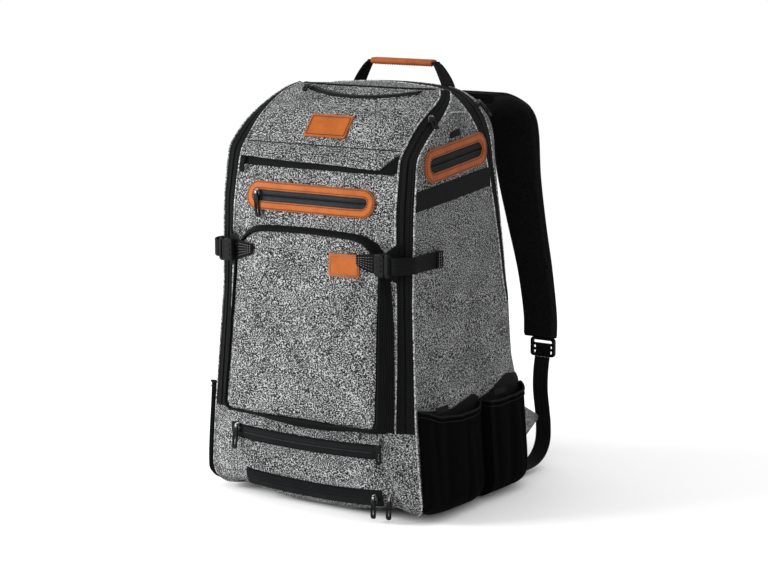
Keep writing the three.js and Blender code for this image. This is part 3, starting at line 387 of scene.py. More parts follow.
def arc_length(points, axis):
    steps = np.linalg.norm(np.diff(points, axis=axis), axis=-1)
    mean = steps.mean(axis=1 - axis)
    return np.concatenate([[0.0], np.cumsum(mean)])


def outward(points, faces, corners):
    """Turns a closed shape right side out."""
    volume = 0.0
    for face in faces:
        first = points[face[0]]
        for k in range(1, len(face) - 1):
            volume += np.dot(first, np.cross(points[face[k]], points[face[k + 1]]))
    if volume < 0:
        faces = [face[::-1] for face in faces]
        corners = [corner[::-1] for corner in corners]
    return points, faces, corners


def fast_outward(points, quads, corners):
    """The same for many quads at once."""
    a, b, c, d = (points[quads[:, k]] for k in range(4))
    volume = np.einsum("ij,ij->i", a, np.cross(b, c)).sum() + np.einsum("ij,ij->i", a, np.cross(c, d)).sum()
    if volume < 0:
        quads = quads[:, ::-1]
        corners = corners[:, ::-1]
    return points, quads, corners


def grid_quads(columns, rows, wrap_columns, wrap_rows):
    i = np.arange(columns if wrap_columns else columns - 1)
    j = np.arange(rows if wrap_rows else rows - 1)
    i, j = (part.ravel() for part in np.meshgrid(i, j, indexing="ij"))
    right, up = (i + 1) % columns, (j + 1) % rows
    quads = np.stack([i * rows + j, right * rows + j, right * rows + up, i * rows + up], -1)
    spots = [np.stack([i + over, j + on], -1) for over, on in ((0, 0), (1, 0), (1, 1), (0, 1))]
    return quads, np.stack(spots, 1)


def ring_lengths(points):
    """Lengths along both directions of a grid that may close, with one value more than its rows."""
    around = arc_length(np.concatenate([points, points[:1]]), 0)
    across = arc_length(np.concatenate([points, points[:, :1]], 1), 1)
    return around, across


def wall(outer, thickness, towards, ring=False):
    """A sheet of cloth with a back. towards is a point or an array of directions to its inner side."""
    normal = normals(outer, ring)
    wanted = np.broadcast_to(np.asarray(towards, float), outer.shape)
    sign = np.sign(np.einsum("ijk,ijk->ij", normal, wanted))
    sign = np.where(sign == 0, 1.0, sign)
    inner = outer + normal * sign[..., None] * thickness
    columns, rows = outer.shape[:2]
    points = np.concatenate([outer.reshape(-1, 3), inner.reshape(-1, 3)])
    half = columns * rows
    quads, spots = grid_quads(columns, rows, ring, False)
    along, across = ring_lengths(outer)
    places = np.stack([along[spots[..., 0]], across[spots[..., 1]]], -1)
    parts = [(quads, places), (quads[:, ::-1] + half, places[:, ::-1])]
    i = np.arange(columns if ring else columns - 1)
    right = (i + 1) % columns
    for j in (0, rows - 1):
        edge = np.stack([i * rows + j, half + i * rows + j, half + right * rows + j, right * rows + j], -1)
        spot_edge = np.stack([i, i, i + 1, i + 1], -1)
        place = np.stack([along[spot_edge], np.full(spot_edge.shape, across[j])], -1)
        flip = j > 0
        parts.append((edge[:, ::-1], place[:, ::-1]) if flip else (edge, place))
    if not ring:
        j = np.arange(rows - 1)
        for i in (0, columns - 1):
            base = i * rows
            edge = np.stack([base + j, base + j + 1, half + base + j + 1, half + base + j], -1)
            spot_edge = np.stack([j, j + 1, j + 1, j], -1)
            place = np.stack([np.full(spot_edge.shape, along[i]), across[spot_edge]], -1)
            flip = i > 0
            parts.append((edge[:, ::-1], place[:, ::-1]) if flip else (edge, place))
    quads = np.concatenate([part[0] for part in parts])
    corners = np.concatenate([part[1] for part in parts])
    return fast_outward(points, quads, corners)


def loop_tube(stations):
    """A closed ring through closed sections: points[section][around]."""
    points = np.asarray(stations)
    quads, spots = grid_quads(points.shape[0], points.shape[1], True, True)
    around, across = ring_lengths(points)
    corners = np.stack([around[spots[..., 0]], across[spots[..., 1]]], -1)
    return fast_outward(points.reshape(-1, 3), quads, corners)


def capped(sections):
    """A solid through closed sections, with flat ends."""
    points = np.asarray(sections)
    count, around = points.shape[:2]
    quads, spots = grid_quads(count, around, False, True)
    lengths, across = ring_lengths(points)
    corners = np.stack([lengths[spots[..., 0]], across[spots[..., 1]]], -1)
    ends = [list(range(around))[::-1], list(range((count - 1) * around, count * around))]
    faces = [list(quad) for quad in quads] + ends
    flat = points.reshape(-1, 3)
    rims = [np.stack([flat[face][:, 0], flat[face][:, 2]], -1) for face in ends]
    return outward(flat, faces, [list(c) for c in corners] + [list(rim) for rim in rims])


def turn_frame(path):
    """Two directions square to a path at each of its points, without twist."""
    along = np.gradient(path, axis=0)
    along /= np.maximum(np.linalg.norm(along, axis=1, keepdims=True), 1e-9)
    first = np.cross(along[0], [0.0, 0.0, 1.0])
    if np.linalg.norm(first) < 0.2:
        first = np.cross(along[0], [1.0, 0.0, 0.0])
    sides = []
    for step in along:
        first = first - step * np.dot(first, step)
        first = first / np.linalg.norm(first)
        sides.append(first)
    sides = np.array(sides)
    return sides, np.cross(along, sides)


def circles(first, second, sides):
    """A circle of directions at each point of a path."""
    angles = np.arange(sides) * 2 * math.pi / sides
    return np.cos(angles)[None, :, None] * first[:, None] + np.sin(angles)[None, :, None] * second[:, None]


def tube(path, radius, sides=8):
    """A cord along an open path, thinner at its two ends."""
    path = np.asarray(path, float)
    sizes = np.full(len(path), float(radius))
    sizes[[0, -1]] = radius * TUBE_END
    return capped(path[:, None] + circles(*turn_frame(path), sides) * sizes[:, None, None])


def ring_cord(path, radius, sides=8):
    """A cord round a closed path."""
    path = np.asarray(path, float)
    closed = np.concatenate([path[-2:], path, path[:2]])
    first, second = turn_frame(closed)
    return loop_tube(path[:, None] + circles(first[2:-2], second[2:-2], sides) * radius)


def smooth_path(points, count):
    """A smooth curve through a few points, at even steps."""
    points = np.asarray(points, float)
    ends = np.concatenate([[2 * points[0] - points[1]], points, [2 * points[-1] - points[-2]]])
    out = []
    for k in range(len(points) - 1):
        a, b, c, d = ends[k : k + 4]
        t = np.linspace(0, 1, 24, endpoint=False)[:, None]
        square = 2 * a - 5 * b + 4 * c - d
        cube = 3 * b - a - 3 * c + d
        out.append(0.5 * (2 * b + (c - a) * t + square * t**2 + cube * t**3))
    out.append(points[-1:])
    return resample(np.concatenate(out), count)


def resample(path, count):
    path = np.asarray(path, float)
    steps = np.linalg.norm(np.diff(path[:, :3], axis=0), axis=1)
    run = np.concatenate([[0.0], np.cumsum(steps)])
    at = np.linspace(0, run[-1], count)
    return np.stack([np.interp(at, run, path[:, k]) for k in range(path.shape[1])], -1)


def swept(path, across, share, lift, widths):
    """A closed profile carried along a path. share runs across it and lift is half its thickness."""
    along = np.gradient(path, axis=0)
    along /= np.linalg.norm(along, axis=1, keepdims=True)
    across = np.broadcast_to(np.asarray(across, float), path.shape)
    up = np.cross(along, across)
    up /= np.linalg.norm(up, axis=1, keepdims=True)
    over = np.concatenate([share, share[::-1]]) * 0.5
    high = np.concatenate([lift, -lift[::-1]])
    return (
        path[:, None]
        + across[:, None] * over[None, :, None] * widths[:, None, None]
        + up[:, None] * high[None, :, None]
    )


def strap(path, across, widths, thick, edge=0.8, ribs=0, rib_depth=0.0):
    """A flat strap along a path, its width along across, with rounded edges and ribs."""
    path = np.asarray(path, float)
    widths = np.broadcast_to(np.asarray(widths, float), len(path))
    share = np.linspace(-1, 1, max(4 * ribs, 10) + 1)
    lift = thick / 2 - edge * np.clip((np.abs(share) - 0.9) / 0.1, 0, 1) ** 2
    lift = lift + rib_depth * np.cos(share * math.pi * ribs)
    return capped(swept(path, across, share, lift, widths))


def rounded_loop(length, width, corner, per_corner=9, per_side=30):
    """A rounded rectangle, walked anticlockwise."""
    corner = min(corner, length / 2 - 0.01, width / 2 - 0.01)
    flat, tall = length / 2 - corner, width / 2 - corner
    points = []
    for sx, sz, start in ((1, 1, 0), (-1, 1, 90), (-1, -1, 180), (1, -1, 270)):
        for k in range(per_corner):
            angle = math.radians(start + 90 * k / (per_corner - 1))
            points.append((sx * flat + corner * math.cos(angle), sz * tall + corner * math.sin(angle)))
        if start % 180 == 0:
            for k in range(1, per_side):
                points.append((sx * flat * (1 - 2 * k / per_side), sz * width / 2))
    return np.array(points)


def slab(loop, depth, bevel, place):
    """A plate with rounded rims. place turns flat points and a stand into points in space."""
    loop = np.asarray(loop, float)
    ahead = np.roll(loop, -1, 0) - np.roll(loop, 1, 0)
    side = np.stack([ahead[:, 1], -ahead[:, 0]], -1)
    side /= np.maximum(np.linalg.norm(side, axis=1, keepdims=True), 1e-9)
    area = np.sum(loop[:, 0] * np.roll(loop[:, 1], -1) - np.roll(loop[:, 0], -1) * loop[:, 1])
    side = side * (1 if area > 0 else -1)
    rows = [(-bevel, 0.0), (-bevel * 0.3, bevel * 0.3), (0.0, bevel), (0.0, depth - bevel)]
    rows += [(-bevel * 0.3, depth - bevel * 0.3), (-bevel, depth)]
    return capped([place(*(loop + side * grow).T, stand) for grow, stand in rows])


def ring_slab(outside, inside, depth, bevel, place):
    """A plate with a hole, both rims rounded."""
    rows = [(0.0, bevel), (0.0, depth - bevel), (0.08, depth), (0.92, depth)]
    rows += [(1.0, depth - bevel), (1.0, bevel), (0.92, 0.0), (0.08, 0.0)]
    return loop_tube([place(*mix(outside, inside, share).T, stand) for share, stand in rows])


def stitches(path, normal, pitch=3.4, length=2.3, radius=0.42):
    """Short threads along a path, as one list of shapes."""
    path = np.asarray(path, float)
    steps = np.linalg.norm(np.diff(path, axis=0), axis=1)
    run = np.concatenate([[0.0], np.cumsum(steps)])
    count = max(int(run[-1] / pitch), 1)
    normal = np.broadcast_to(np.asarray(normal, float), path.shape)
    shapes = []
    for k in range(count):
        start = (k + 0.5) * run[-1] / count - length / 2
        at = start + np.array([0.0, 0.25, 0.75, 1.0]) * length
        spots = np.stack([np.interp(at, run, path[:, axis]) for axis in range(3)], -1)
        out = np.stack([np.interp(at, run, normal[:, axis]) for axis in range(3)], -1)
        lift = np.array([-radius * 0.7, radius * 0.5, radius * 0.5, -radius * 0.7]) - STITCH_SINK
        shapes.append(tube(spots + out * lift[:, None], radius, 5))
    return shapes


def make(name, shapes, material, replaces=(), sheet=None):
    """One object from a list of shapes. sheet, its flat size and how it is held, is not used."""
    points, faces, places = [], [], []
    start = 0
    for shape_points, shape_faces, shape_corners in shapes:
        points.append(shape_points)
        faces.extend([[int(k) + start for k in face] for face in shape_faces])
        for corner in shape_corners:
            places.extend(corner)
        start += len(shape_points)
    mesh = bpy.data.meshes.new(name)
    mesh.from_pydata((np.concatenate(points) * METRE).tolist(), [], faces)
    layer = mesh.uv_layers.new(name="cloth")
    layer.data.foreach_set("uv", (np.asarray(places, float) * METRE).ravel())
    mesh.polygons.foreach_set("use_smooth", [True] * len(mesh.polygons))
    mesh.set_sharp_from_angle(angle=SHARP_ANGLE)
    mesh.update()
    piece = bpy.data.objects.new(name, mesh)
    bpy.context.scene.collection.objects.link(piece)
    mesh.materials.append(material)
    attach(piece, "root")
    if replaces:
        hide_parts(*replaces)
    if sheet:
        sheet[2] if len(sheet) > 2 else None
    return piece


def cut(width, length):
    """A panel's cut size in metres. It comes from the sizes of the bag, not from the finished mesh."""
    return (float(width) * METRE, float(length) * METRE)


# Materials


class Graph:
    """A node material, with a shader and a short way to add nodes."""

    def __init__(self, name, roughness=0.6, sheen=0.0, specular=0.5, metallic=0.0):
        self.material = bpy.data.materials.new(name)
        self.material.use_nodes = True
        self.tree = self.material.node_tree
        self.shader = self.tree.nodes["Principled BSDF"]
        self.set("Roughness", roughness)
        self.set("Metallic", metallic)
        self.set("Specular IOR Level", specular)
        self.set("Sheen Weight", sheen)
        self.set("Sheen Roughness", 0.5)

    def set(self, name, value):
        if isinstance(value, bpy.types.NodeSocket):
            self.tree.links.new(value, self.shader.inputs[name])
        else:
            self.shader.inputs[name].default_value = value

    def node(self, kind, inputs=None, **settings):
        node = self.tree.nodes.new(kind)
        for key, value in settings.items():
            setattr(node, key, value)
        for key, value in (inputs or {}).items():
            if isinstance(value, bpy.types.NodeSocket):
                self.tree.links.new(value, node.inputs[key])
            else:
                node.inputs[key].default_value = value
        return node

    def place(self, kind="Object", scale=(1, 1, 1), turn=(0, 0, 0)):
        source = self.node("ShaderNodeTexCoord").outputs[kind]
        return self.node("ShaderNodeMapping", {"Vector": source, "Scale": scale, "Rotation": turn}).outputs[0]

    def noise(self, place, scale, detail=2.0, rough=0.6):
        inputs = {"Vector": place, "Scale": scale, "Detail": detail, "Roughness": rough}
        return self.node("ShaderNodeTexNoise", inputs).outputs[0]

    def maths(self, kind, a, b=0.0):
        return self.node("ShaderNodeMath", {0: a, 1: b}, operation=kind).outputs[0]

    def ramp(self, value, stops):
        node = self.node("ShaderNodeValToRGB", {"Fac": value})
        bar = node.color_ramp
        while len(bar.elements) < len(stops):
            bar.elements.new(0.5)
        for element, (at, colour) in zip(bar.elements, stops):
            element.position = at
            element.color = (*colour, 1.0)
        return node.outputs[0]

    def wave(self, place, axis, pitch):
        inputs = {"Vector": place, "Scale": 2 * math.pi / (pitch * METRE) / 20.0}
        return self.node("ShaderNodeTexWave", inputs, wave_type="BANDS", bands_direction=axis).outputs[1]

    def bump(self, height, distance, strength=1.0):
        inputs = {"Height": height, "Distance": distance * METRE, "Strength": strength}
        normal = self.node("ShaderNodeBump", inputs).outputs[0]
        self.tree.links.new(normal, self.shader.inputs["Normal"])


def grey(value, tint=0.0):
    return (value * (1 - tint), value, value * (1 + tint))


def canvas(name, dark, middle, light, size=500.0):
    """Salt-and-pepper heather canvas in a fine weave."""
    g = Graph(name, roughness=0.92, sheen=0.03, specular=0.12)
    flecks = g.noise(g.place(scale=(1.0, 1.0, 1.25)), size, 2.0, 0.65)
    patches = g.noise(g.place(), 26.0, 2.0, 0.5)
    value = g.maths("ADD", flecks, g.maths("MULTIPLY", g.maths("SUBTRACT", patches, 0.5), 0.08))
    stops = [(0.44, grey(dark, 0.02)), (0.49, grey(mix(dark, middle, 0.7), 0.02))]
    stops += [(0.53, grey(middle, 0.01)), (0.585, grey(light, 0.01))]
    g.set("Base Color", g.ramp(value, stops))
    warp = g.wave(g.place("UV"), "X", 1.1)
    weft = g.wave(g.place("UV"), "Y", 1.1)
    height = g.maths("ADD", g.maths("MULTIPLY", warp, 0.3), g.maths("MULTIPLY", weft, 0.3))
    g.bump(g.maths("ADD", height, flecks), 0.3, 0.7)
    return g.material


def ribbed(name, base, pitch, axis="Y", roughness=0.7):
    """Black woven tape or webbing with fine ribs."""
    g = Graph(name, roughness=roughness, specular=0.05)
    ribs = g.wave(g.place("UV"), axis, pitch)
    cross = g.wave(g.place("UV"), "X" if axis == "Y" else "Y", pitch * 0.55)
    fibres = g.noise(g.place(), 900.0, 2.0, 0.6)
    tone = g.maths("ADD", g.maths("MULTIPLY", ribs, 0.55), g.maths("MULTIPLY", fibres, 0.45))
    g.set("Base Color", g.ramp(tone, [(0.2, grey(base * 0.3, 0.05)), (0.8, grey(base * 1.9, 0.05))]))
    height = g.maths("ADD", ribs, g.maths("MULTIPLY", cross, 0.35))
    g.bump(g.maths("ADD", height, g.maths("MULTIPLY", fibres, 0.3)), 0.35, 0.9)
    return g.material


def coil(name, base):
    """A closed zip: coated tape with the teeth under it."""
    g = Graph(name, roughness=0.55, specular=0.06)
    teeth = g.wave(g.place("UV"), "X", 1.7)
    marks = g.noise(g.place(), 500.0, 2.0, 0.6)
    g.set("Base Color", g.ramp(marks, [(0.3, grey(base * 0.5, 0.15)), (0.75, grey(base * 1.5, 0.15))]))
    g.set("Roughness", g.ramp(marks, [(0.3, grey(0.35)), (0.7, grey(0.55))]))
    g.bump(g.maths("ADD", g.maths("MULTIPLY", teeth, 0.6), marks), 0.22, 0.6)
    return g.material


def hide(name, base, deep):
    """Smooth leather with a fine grain and slightly deeper patches."""
    g = Graph(name, roughness=0.55, specular=0.08)
    cells = {"Vector": g.place(), "Scale": 1100.0}
    grain = g.node("ShaderNodeTexVoronoi", cells, feature="DISTANCE_TO_EDGE").outputs[0]
    cloudy = g.noise(g.place(), 60.0, 4.0, 0.6)
    fine = g.noise(g.place(), 700.0, 3.0, 0.6)
    tone = g.maths("ADD", g.maths("MULTIPLY", cloudy, 0.75), g.maths("MULTIPLY", fine, 0.25))
    bright = tuple(min(1.0, part * 1.18) for part in base)
    g.set("Base Color", g.ramp(tone, [(0.32, deep), (0.5, base), (0.72, bright)]))
    g.set("Roughness", g.ramp(fine, [(0.3, grey(0.36)), (0.7, grey(0.52))]))
    pores = g.node("ShaderNodeMapRange", {"Value": grain, "From Min": 0.0, "From Max": 0.12}).outputs[0]
    g.bump(g.maths("ADD", pores, g.maths("MULTIPLY", fine, 0.6)), 0.12, 0.7)
    return g.material


def netting(name, base, cell, roughness=0.75, depth=0.35):
    """Knitted mesh: small holes in a soft black cloth, with painted shade in the holes."""
    g = Graph(name, roughness=roughness, specular=0.02)
    cells = {"Vector": g.place("UV"), "Scale": 1000.0 / cell, "Randomness": 0.25}
    holes = g.node("ShaderNodeTexVoronoi", cells).outputs[0]
    soft = g.noise(g.place(), 140.0, 3.0, 0.6)
    tone = g.maths("ADD", holes, g.maths("MULTIPLY", g.maths("SUBTRACT", soft, 0.5), 0.3))
    # The holes are painted darker than the cloth round them: painted shade in the holes.
    g.set("Base Color", g.ramp(tone, [(0.12, grey(base * 0.25)), (0.5, grey(base))]))
    g.bump(holes, depth, 0.8)
    return g.material


def moulded(name, base, roughness=0.36):
    """Moulded black plastic with a fine spark texture."""
    g = Graph(name, roughness=roughness, specular=0.06)
    spark = g.noise(g.place(), 1500.0, 2.0, 0.6)
    g.set("Base Color", g.ramp(spark, [(0.3, grey(base * 0.7, 0.05)), (0.7, grey(base * 1.3, 0.05))]))
    g.set("Roughness", g.ramp(spark, [(0.3, grey(roughness * 0.85)), (0.7, grey(roughness * 1.2))]))
    g.bump(spark, 0.06, 0.6)
    return g.material


def metal(name):
    """Dark nickel plate, brighter in random patches."""
    g = Graph(name, roughness=0.28, metallic=1.0)
    marks = g.noise(g.place(), 400.0, 3.0, 0.6)
    g.set("Base Color", g.ramp(marks, [(0.35, grey(0.03, 0.02)), (0.65, grey(0.2, 0.02))]))
    g.set("Roughness", g.ramp(marks, [(0.3, grey(0.22)), (0.7, grey(0.4))]))
    return g.material


def thread(name, base):
    g = Graph(name, roughness=0.7, sheen=0.2, specular=0.3)
    twist = g.noise(g.place(), 1200.0, 2.0, 0.5)
    low = tuple(part * 0.7 for part in base)
    high = tuple(min(part * 1.25, 1.0) for part in base)
    g.set("Base Color", g.ramp(twist, [(0.3, low), (0.7, high)]))
    g.bump(twist, 0.1, 0.5)
    return g.material


def plain(name, value, roughness):
    g = Graph(name, roughness=roughness, specular=0.2)
    cloudy = g.noise(g.place(), 3.0, 2.0, 0.5)
    g.set("Base Color", g.ramp(cloudy, [(0.3, grey(value * 0.99)), (0.7, grey(value))]))
    return g.material


CANVAS = canvas("heather_canvas", 0.003, 0.052, 0.36, 640.0)
# A slightly darker copy of the canvas for the sides and the rear gusset: painted shade, for walls that face
# away from the key light.
SHADED_CANVAS = canvas("shaded_heather_canvas", 0.003, 0.046, 0.33, 640.0)
TAPE = ribbed("ribbed_tape", 0.004, 2.2)
BAND = ribbed("plain_band", 0.005, 1.0)
WEBBING = ribbed("webbing", 0.005, 1.6)
COIL = coil("zip_coil", 0.003)
# A lighter copy of the black coil for the front slot: painted reflection of its glossy coating.
REFLECTION_COIL = coil("painted_reflection_coil", 0.013)
LEATHER = hide("tan_leather", (0.3, 0.077, 0.013), (0.24, 0.058, 0.009))
SIDE_LEATHER = hide("shaded_leather", (0.26, 0.064, 0.015), (0.2, 0.048, 0.011))
MESH = netting("stretch_mesh", 0.0014, 1.3, 0.9)
AIR_MESH = netting("air_mesh", 0.008, 2.6, 0.9, 0.9)
PLASTIC = moulded("moulded_plastic", 0.005)
RUBBER = moulded("soft_pull", 0.005, 0.5)
METAL = metal("slider_metal")
PIPING = canvas("piping", 0.06, 0.24, 0.5)
DARK_THREAD = thread("dark_thread", (0.02, 0.012, 0.008))
GREY_THREAD = thread("grey_thread", (0.12, 0.12, 0.12))
# Light thread for the row under the flap zip, painted highlight of a crease.
HIGHLIGHT_THREAD = thread("painted_highlight_thread", (0.3, 0.3, 0.3))


def add_camera():
    data = bpy.data.cameras.new("camera")
    data.sensor_width = 36.0
    data.lens = 103.3
    data.clip_end = 50.0
    camera = bpy.data.objects.new("camera", data)
    bpy.context.scene.collection.objects.link(camera)
    camera.location = Vector((1.4606, -2.1385, 0.6905))
    aim = Vector((0.042, -0.051, 0.250))
    camera.rotation_euler = (aim - camera.location).to_track_quat("-Z", "Y").to_euler()
    bpy.context.scene.camera = camera


def add_light(name, place, aim, size, power):
    data = bpy.data.lights.new(name, "AREA")
    data.shape = "RECTANGLE"
    data.size, data.size_y = size
    data.energy = power
    light = bpy.data.objects.new(name, data)
    bpy.context.scene.collection.objects.link(light)
    light.location = Vector(place)
    light.rotation_euler = (Vector(aim) - light.location).to_track_quat("-Z", "Y").to_euler()


def add_studio():
    world = bpy.data.worlds.new("studio")
    world.use_nodes = True
    world.node_tree.nodes["Background"].inputs["Color"].default_value = (1, 1, 1, 1)
    world.node_tree.nodes["Background"].inputs["Strength"].default_value = 1.0
    bpy.context.scene.world = world
    bpy.context.scene.view_settings.view_transform = "Standard"
    add_light("key", (-1.3, -1.25, 0.7), (0, -0.1, 0.2), (1.0, 0.8), 50.0)
    add_light("fill", (2.4, -0.9, 1.1), (0, 0, 0.25), (1.4, 1.6), 3.0)
    add_light("top", (0.2, 0.3, 2.4), (0, 0, 0.3), (1.6, 1.6), 5.0)
    size = 1.5
    mesh = bpy.data.meshes.new("floor")
    low = -0.0006
    corners = [(-size, -size, low), (size, -size, low), (size, size, low), (-size, size, low)]
    mesh.from_pydata(corners, [], [(0, 1, 2, 3)])
    floor = bpy.data.objects.new("floor", mesh)
    bpy.context.scene.collection.objects.link(floor)
    mesh.materials.append(plain("pale_floor", 0.96, 0.85))


# The walls of the body


def grid_of(function, us, vs):
    u, v = np.meshgrid(np.asarray(us, float), np.asarray(vs, float), indexing="ij")
    return np.stack(function(u, v), -1)


def add_front():
    def front(half_at):
        def place(u, z):
            x = u * half_at(z)
            return x, front_face(x, z), z
        return place

    us = np.linspace(-1, 1, 81)
    slope = math.hypot(FLAP_TOP - HOOD_SEAM, float(front_edge(FLAP_TOP) - front_edge(HOOD_SEAM)))
    front_flat = cut(2 * front_half((FRONT_TAPE_FOOT + PANEL_TOP) / 2), PANEL_TOP - FRONT_TAPE_FOOT)
    flap_flat = cut(2 * FLAP_HALF_WIDTH, slope)
    low_flat = cut(2 * width_at(FRONT_TAPE_FOOT / 2), FRONT_TAPE_FOOT)
    panel = grid_of(front(front_half), us, np.linspace(FRONT_TAPE_FOOT, PANEL_TOP, 100))
    cloth = [wall(panel, CLOTH, (0, 1, 0))]
    make("front_cloth", cloth, CANVAS, ["front_panel"], sheet=(front_flat, "stretched"))
    flap = grid_of(front(front_half), us, np.linspace(HOOD_SEAM, FLAP_TOP, 70))
    cloth = [wall(flap, CLOTH, (0, 1, -0.5))]
    make("flap_cloth", cloth, CANVAS, ["top_flap"], sheet=(flap_flat, "stretched"))
    low = grid_of(front(lambda z: half_width(z, 0.0)), us, np.linspace(0.0, FRONT_TAPE_FOOT, 64))
    low[..., 2] = lifted(*np.moveaxis(low, -1, 0))
    cloth = [wall(low, CLOTH, (0, 1, 0))]
    make("lower_cloth", cloth, CANVAS, ["lower_panel"], sheet=(low_flat, "stretched"))

    for name, sign in SIDES:
        def tape(u, z):
            x = sign * mix(front_half(z), half_width(z, 0.0), u)
            return x, front_face(x, z) - tape_lift(u, 1.3), z

        zs = np.linspace(FRONT_TAPE_FOOT, FLAP_TOP, 150)
        grid = grid_of(tape, np.linspace(0, 1, 29), zs)
        make(f"front_zip_tape_{name}", [wall(grid, TAPE_CLOTH, (0, 1, 0))], TAPE, [f"front_tape_{name}"])


def tape_lift(share, groove):
    """A zip tape's ribs, the groove down its middle and the low ridges beside the groove."""
    off = np.abs(share - 0.5)
    ribs = 0.35 * np.cos(share * math.pi * 14)
    ridges = 0.5 * np.exp(-(((off - 0.13) / 0.05) ** 2))
    return ribs - groove * np.exp(-((off / 0.04) ** 2)) + ridges


def piping_line(points, radius=1.05):
    length = np.linalg.norm(np.diff(points, axis=0), axis=1).sum()
    return tube(resample(points, max(int(length / 5), 8)), radius, 8)


def add_piping():
    zs = np.linspace(FRONT_TAPE_FOOT, FLAP_TOP, 160)
    shapes = []
    for _, sign in SIDES:
        shapes.append(piping_line(on_front(sign * front_half(zs), zs, 0.5)))
        low = np.linspace(2.0, FLAP_TOP - 2, 200)
        x = sign * half_width(low, 0.0)
        y = front_edge(low) + 0.2
        edge = np.stack([x, y, lifted(x, y, low)], -1)
        shapes.append(piping_line(edge))
    for sign in (1, -1):
        share = np.linspace(0.0, 1.0, 60) ** 1.8
        x, y, z = between(seam_turn(share), share)
        grid = np.stack([sign * x, y, z], -1)
        out = np.array([sign, 0.0, 0.35])
        shapes.append(piping_line(grid + out * 0.4))
    turns = half_turns(turn_at(REAR_TAPE_FOOT, 1.0) + 0.002)
    _, z = outline(turns, 1.0)
    for y in (rear_seam(z) - tape_front(z), rear_seam(z) + TAPE_WIDTH / 2):
        x, high = inset(turns, back_curve(turns, y))
        shapes.append(piping_line(np.stack([x, y, high], -1)))
    make("grey_piping", shapes, PIPING)

    inner = FLAP_HALF_WIDTH - FLAP_CORNER
    xs = np.linspace(-inner, inner, 90)
    z = np.full_like(xs, FLAP_TOP)
    black = [piping_line(np.stack([xs, front_face(xs, z) + 1.6, z + 0.6], -1), 1.3)]
    xs = np.linspace(-FLAP_HALF_WIDTH, FLAP_HALF_WIDTH, 90)
    z = np.full_like(xs, HOOD_SEAM)
    black.append(piping_line(np.stack([xs, front_skin(xs, z) + 0.6, z], -1), 0.8))
    make("seam_binding", black, BAND)


def seam_turn(share):
    """The arc seam of the shoulders: steep at the front, then nearly level."""
    return 3.14 + 0.21 * (1 - np.exp(-share / 0.05)) + 0.08 * share


def between(turn, share):
    """The walls between the front and the rear seam."""
    x, z = outline(turn, share)
    front_x, front_z = outline(turn, 0.0)
    _, rear_z = outline(turn, 1.0)
    low = front_limit(front_x, front_z)
    high = rear_seam(rear_z) - tape_front(rear_z)
    y = mix(low, high, share)
    return x - np.sign(x) * back_curve(turn, y) * (turn <= 3), y, z


def joined(*runs):
    """Even runs of values, each as start, end and count. Each run starts where the last one ends."""
    parts = [np.linspace(*run) for run in runs]
    return np.concatenate([parts[0]] + [part[1:] for part in parts[1:]])


def to_middle(grid, depth=0.0):
    """Directions from a grid to the middle of the body, with a set part along its depth."""
    return np.stack([-grid[..., 0], np.full(grid.shape[:2], depth), BODY_HEIGHT / 2 - grid[..., 2]], -1)


def sagging(grid, towards):
    """Moves a panel by the slack of its cloth, square to itself."""
    normal = normals(grid)
    wanted = np.broadcast_to(np.asarray(towards, float), grid.shape)
    sign = np.where(np.einsum("ijk,ijk->ij", normal, wanted) > 0, -1.0, 1.0)
    return grid + normal * (sign * slack(grid))[..., None]


def add_body():
    shares = np.linspace(0, 1, 48) ** 1.6

    def crown(turn, share):
        reach = 5 - seam_turn(share)
        return between(5 + turn * reach, share)

    def wall_depth(z):
        return rear_seam(z) - tape_front(z) - front_edge(z)

    # The crown is a strip across the top that widens down both shoulders
    _, tall, _, start, middle = shoulder(0.0)
    top_depth = float(wall_depth(FLAP_TOP))
    end_depth = float(wall_depth(start))
    crown_area = (2 * middle * top_depth + tall * (top_depth + end_depth)) * METRE**2
    crown_sheet = (cut(2 * (middle + tall), end_depth), "stretched", crown_area)
    heights = np.linspace(BASE_RADIUS, start, 50)
    side_long = start + tall / 2 - BASE_RADIUS
    side_area = float(wall_depth(heights).mean()) * side_long * METRE**2
    side_sheet = (cut(side_long, wall_depth(heights).max()), "stretched", side_area)
    base_wide = BODY_WIDTH + (math.pi - 2) * BASE_RADIUS
    base_sheet = (cut(base_wide, rear_seam(0.0) - front_edge(0.0)), "stretched")

    steps = np.linspace(-1, 1, 121)
    grid = grid_of(crown, steps, shares)
    inward = to_middle(grid)
    grid = sagging(grid, inward)
    make("crown_cloth", [wall(grid, CLOTH, inward)], CANVAS, ["crown_panel"], sheet=crown_sheet)

    for name, sign in SIDES:
        def side(turn, share):
            scaled = np.where(turn <= 3, turn, 3 + (turn - 3) * (seam_turn(share) - 3))
            x, y, z = between(scaled, share)
            return sign * x, y, z

        foot = turn_at(REAR_TAPE_FOOT, 1.0)
        turns = np.concatenate([np.linspace(2, foot - 0.004, 60), joined((foot, 3, 50), (3, 4, 12))])
        grid = grid_of(side, turns, shares)
        inward = np.array([-sign, 0.0, 0.0])
        grid = sagging(grid, inward)
        cloth = [wall(grid, CLOTH, inward)]
        replaced = [f"side_panel_{name}"]
        # The sides take the darker canvas copy, painted shade.
        make(f"side_cloth_{name}", cloth, SHADED_CANVAS, replaced, sheet=side_sheet)

    def base(turn, share):
        x, z = outline(turn, share)
        y = mix(front_limit(x, z), rear_seam(z), share)
        return x, y, lifted(x, y, z)

    turns = joined((-2, -1, 14), (-1, 1, 60), (1, 2, 14))
    grid = grid_of(base, turns, np.linspace(0, 1, 30))
    inward = to_middle(grid)
    make("base_cloth", [wall(grid, CLOTH, inward)], BAND, ["base_panel"], sheet=base_sheet)


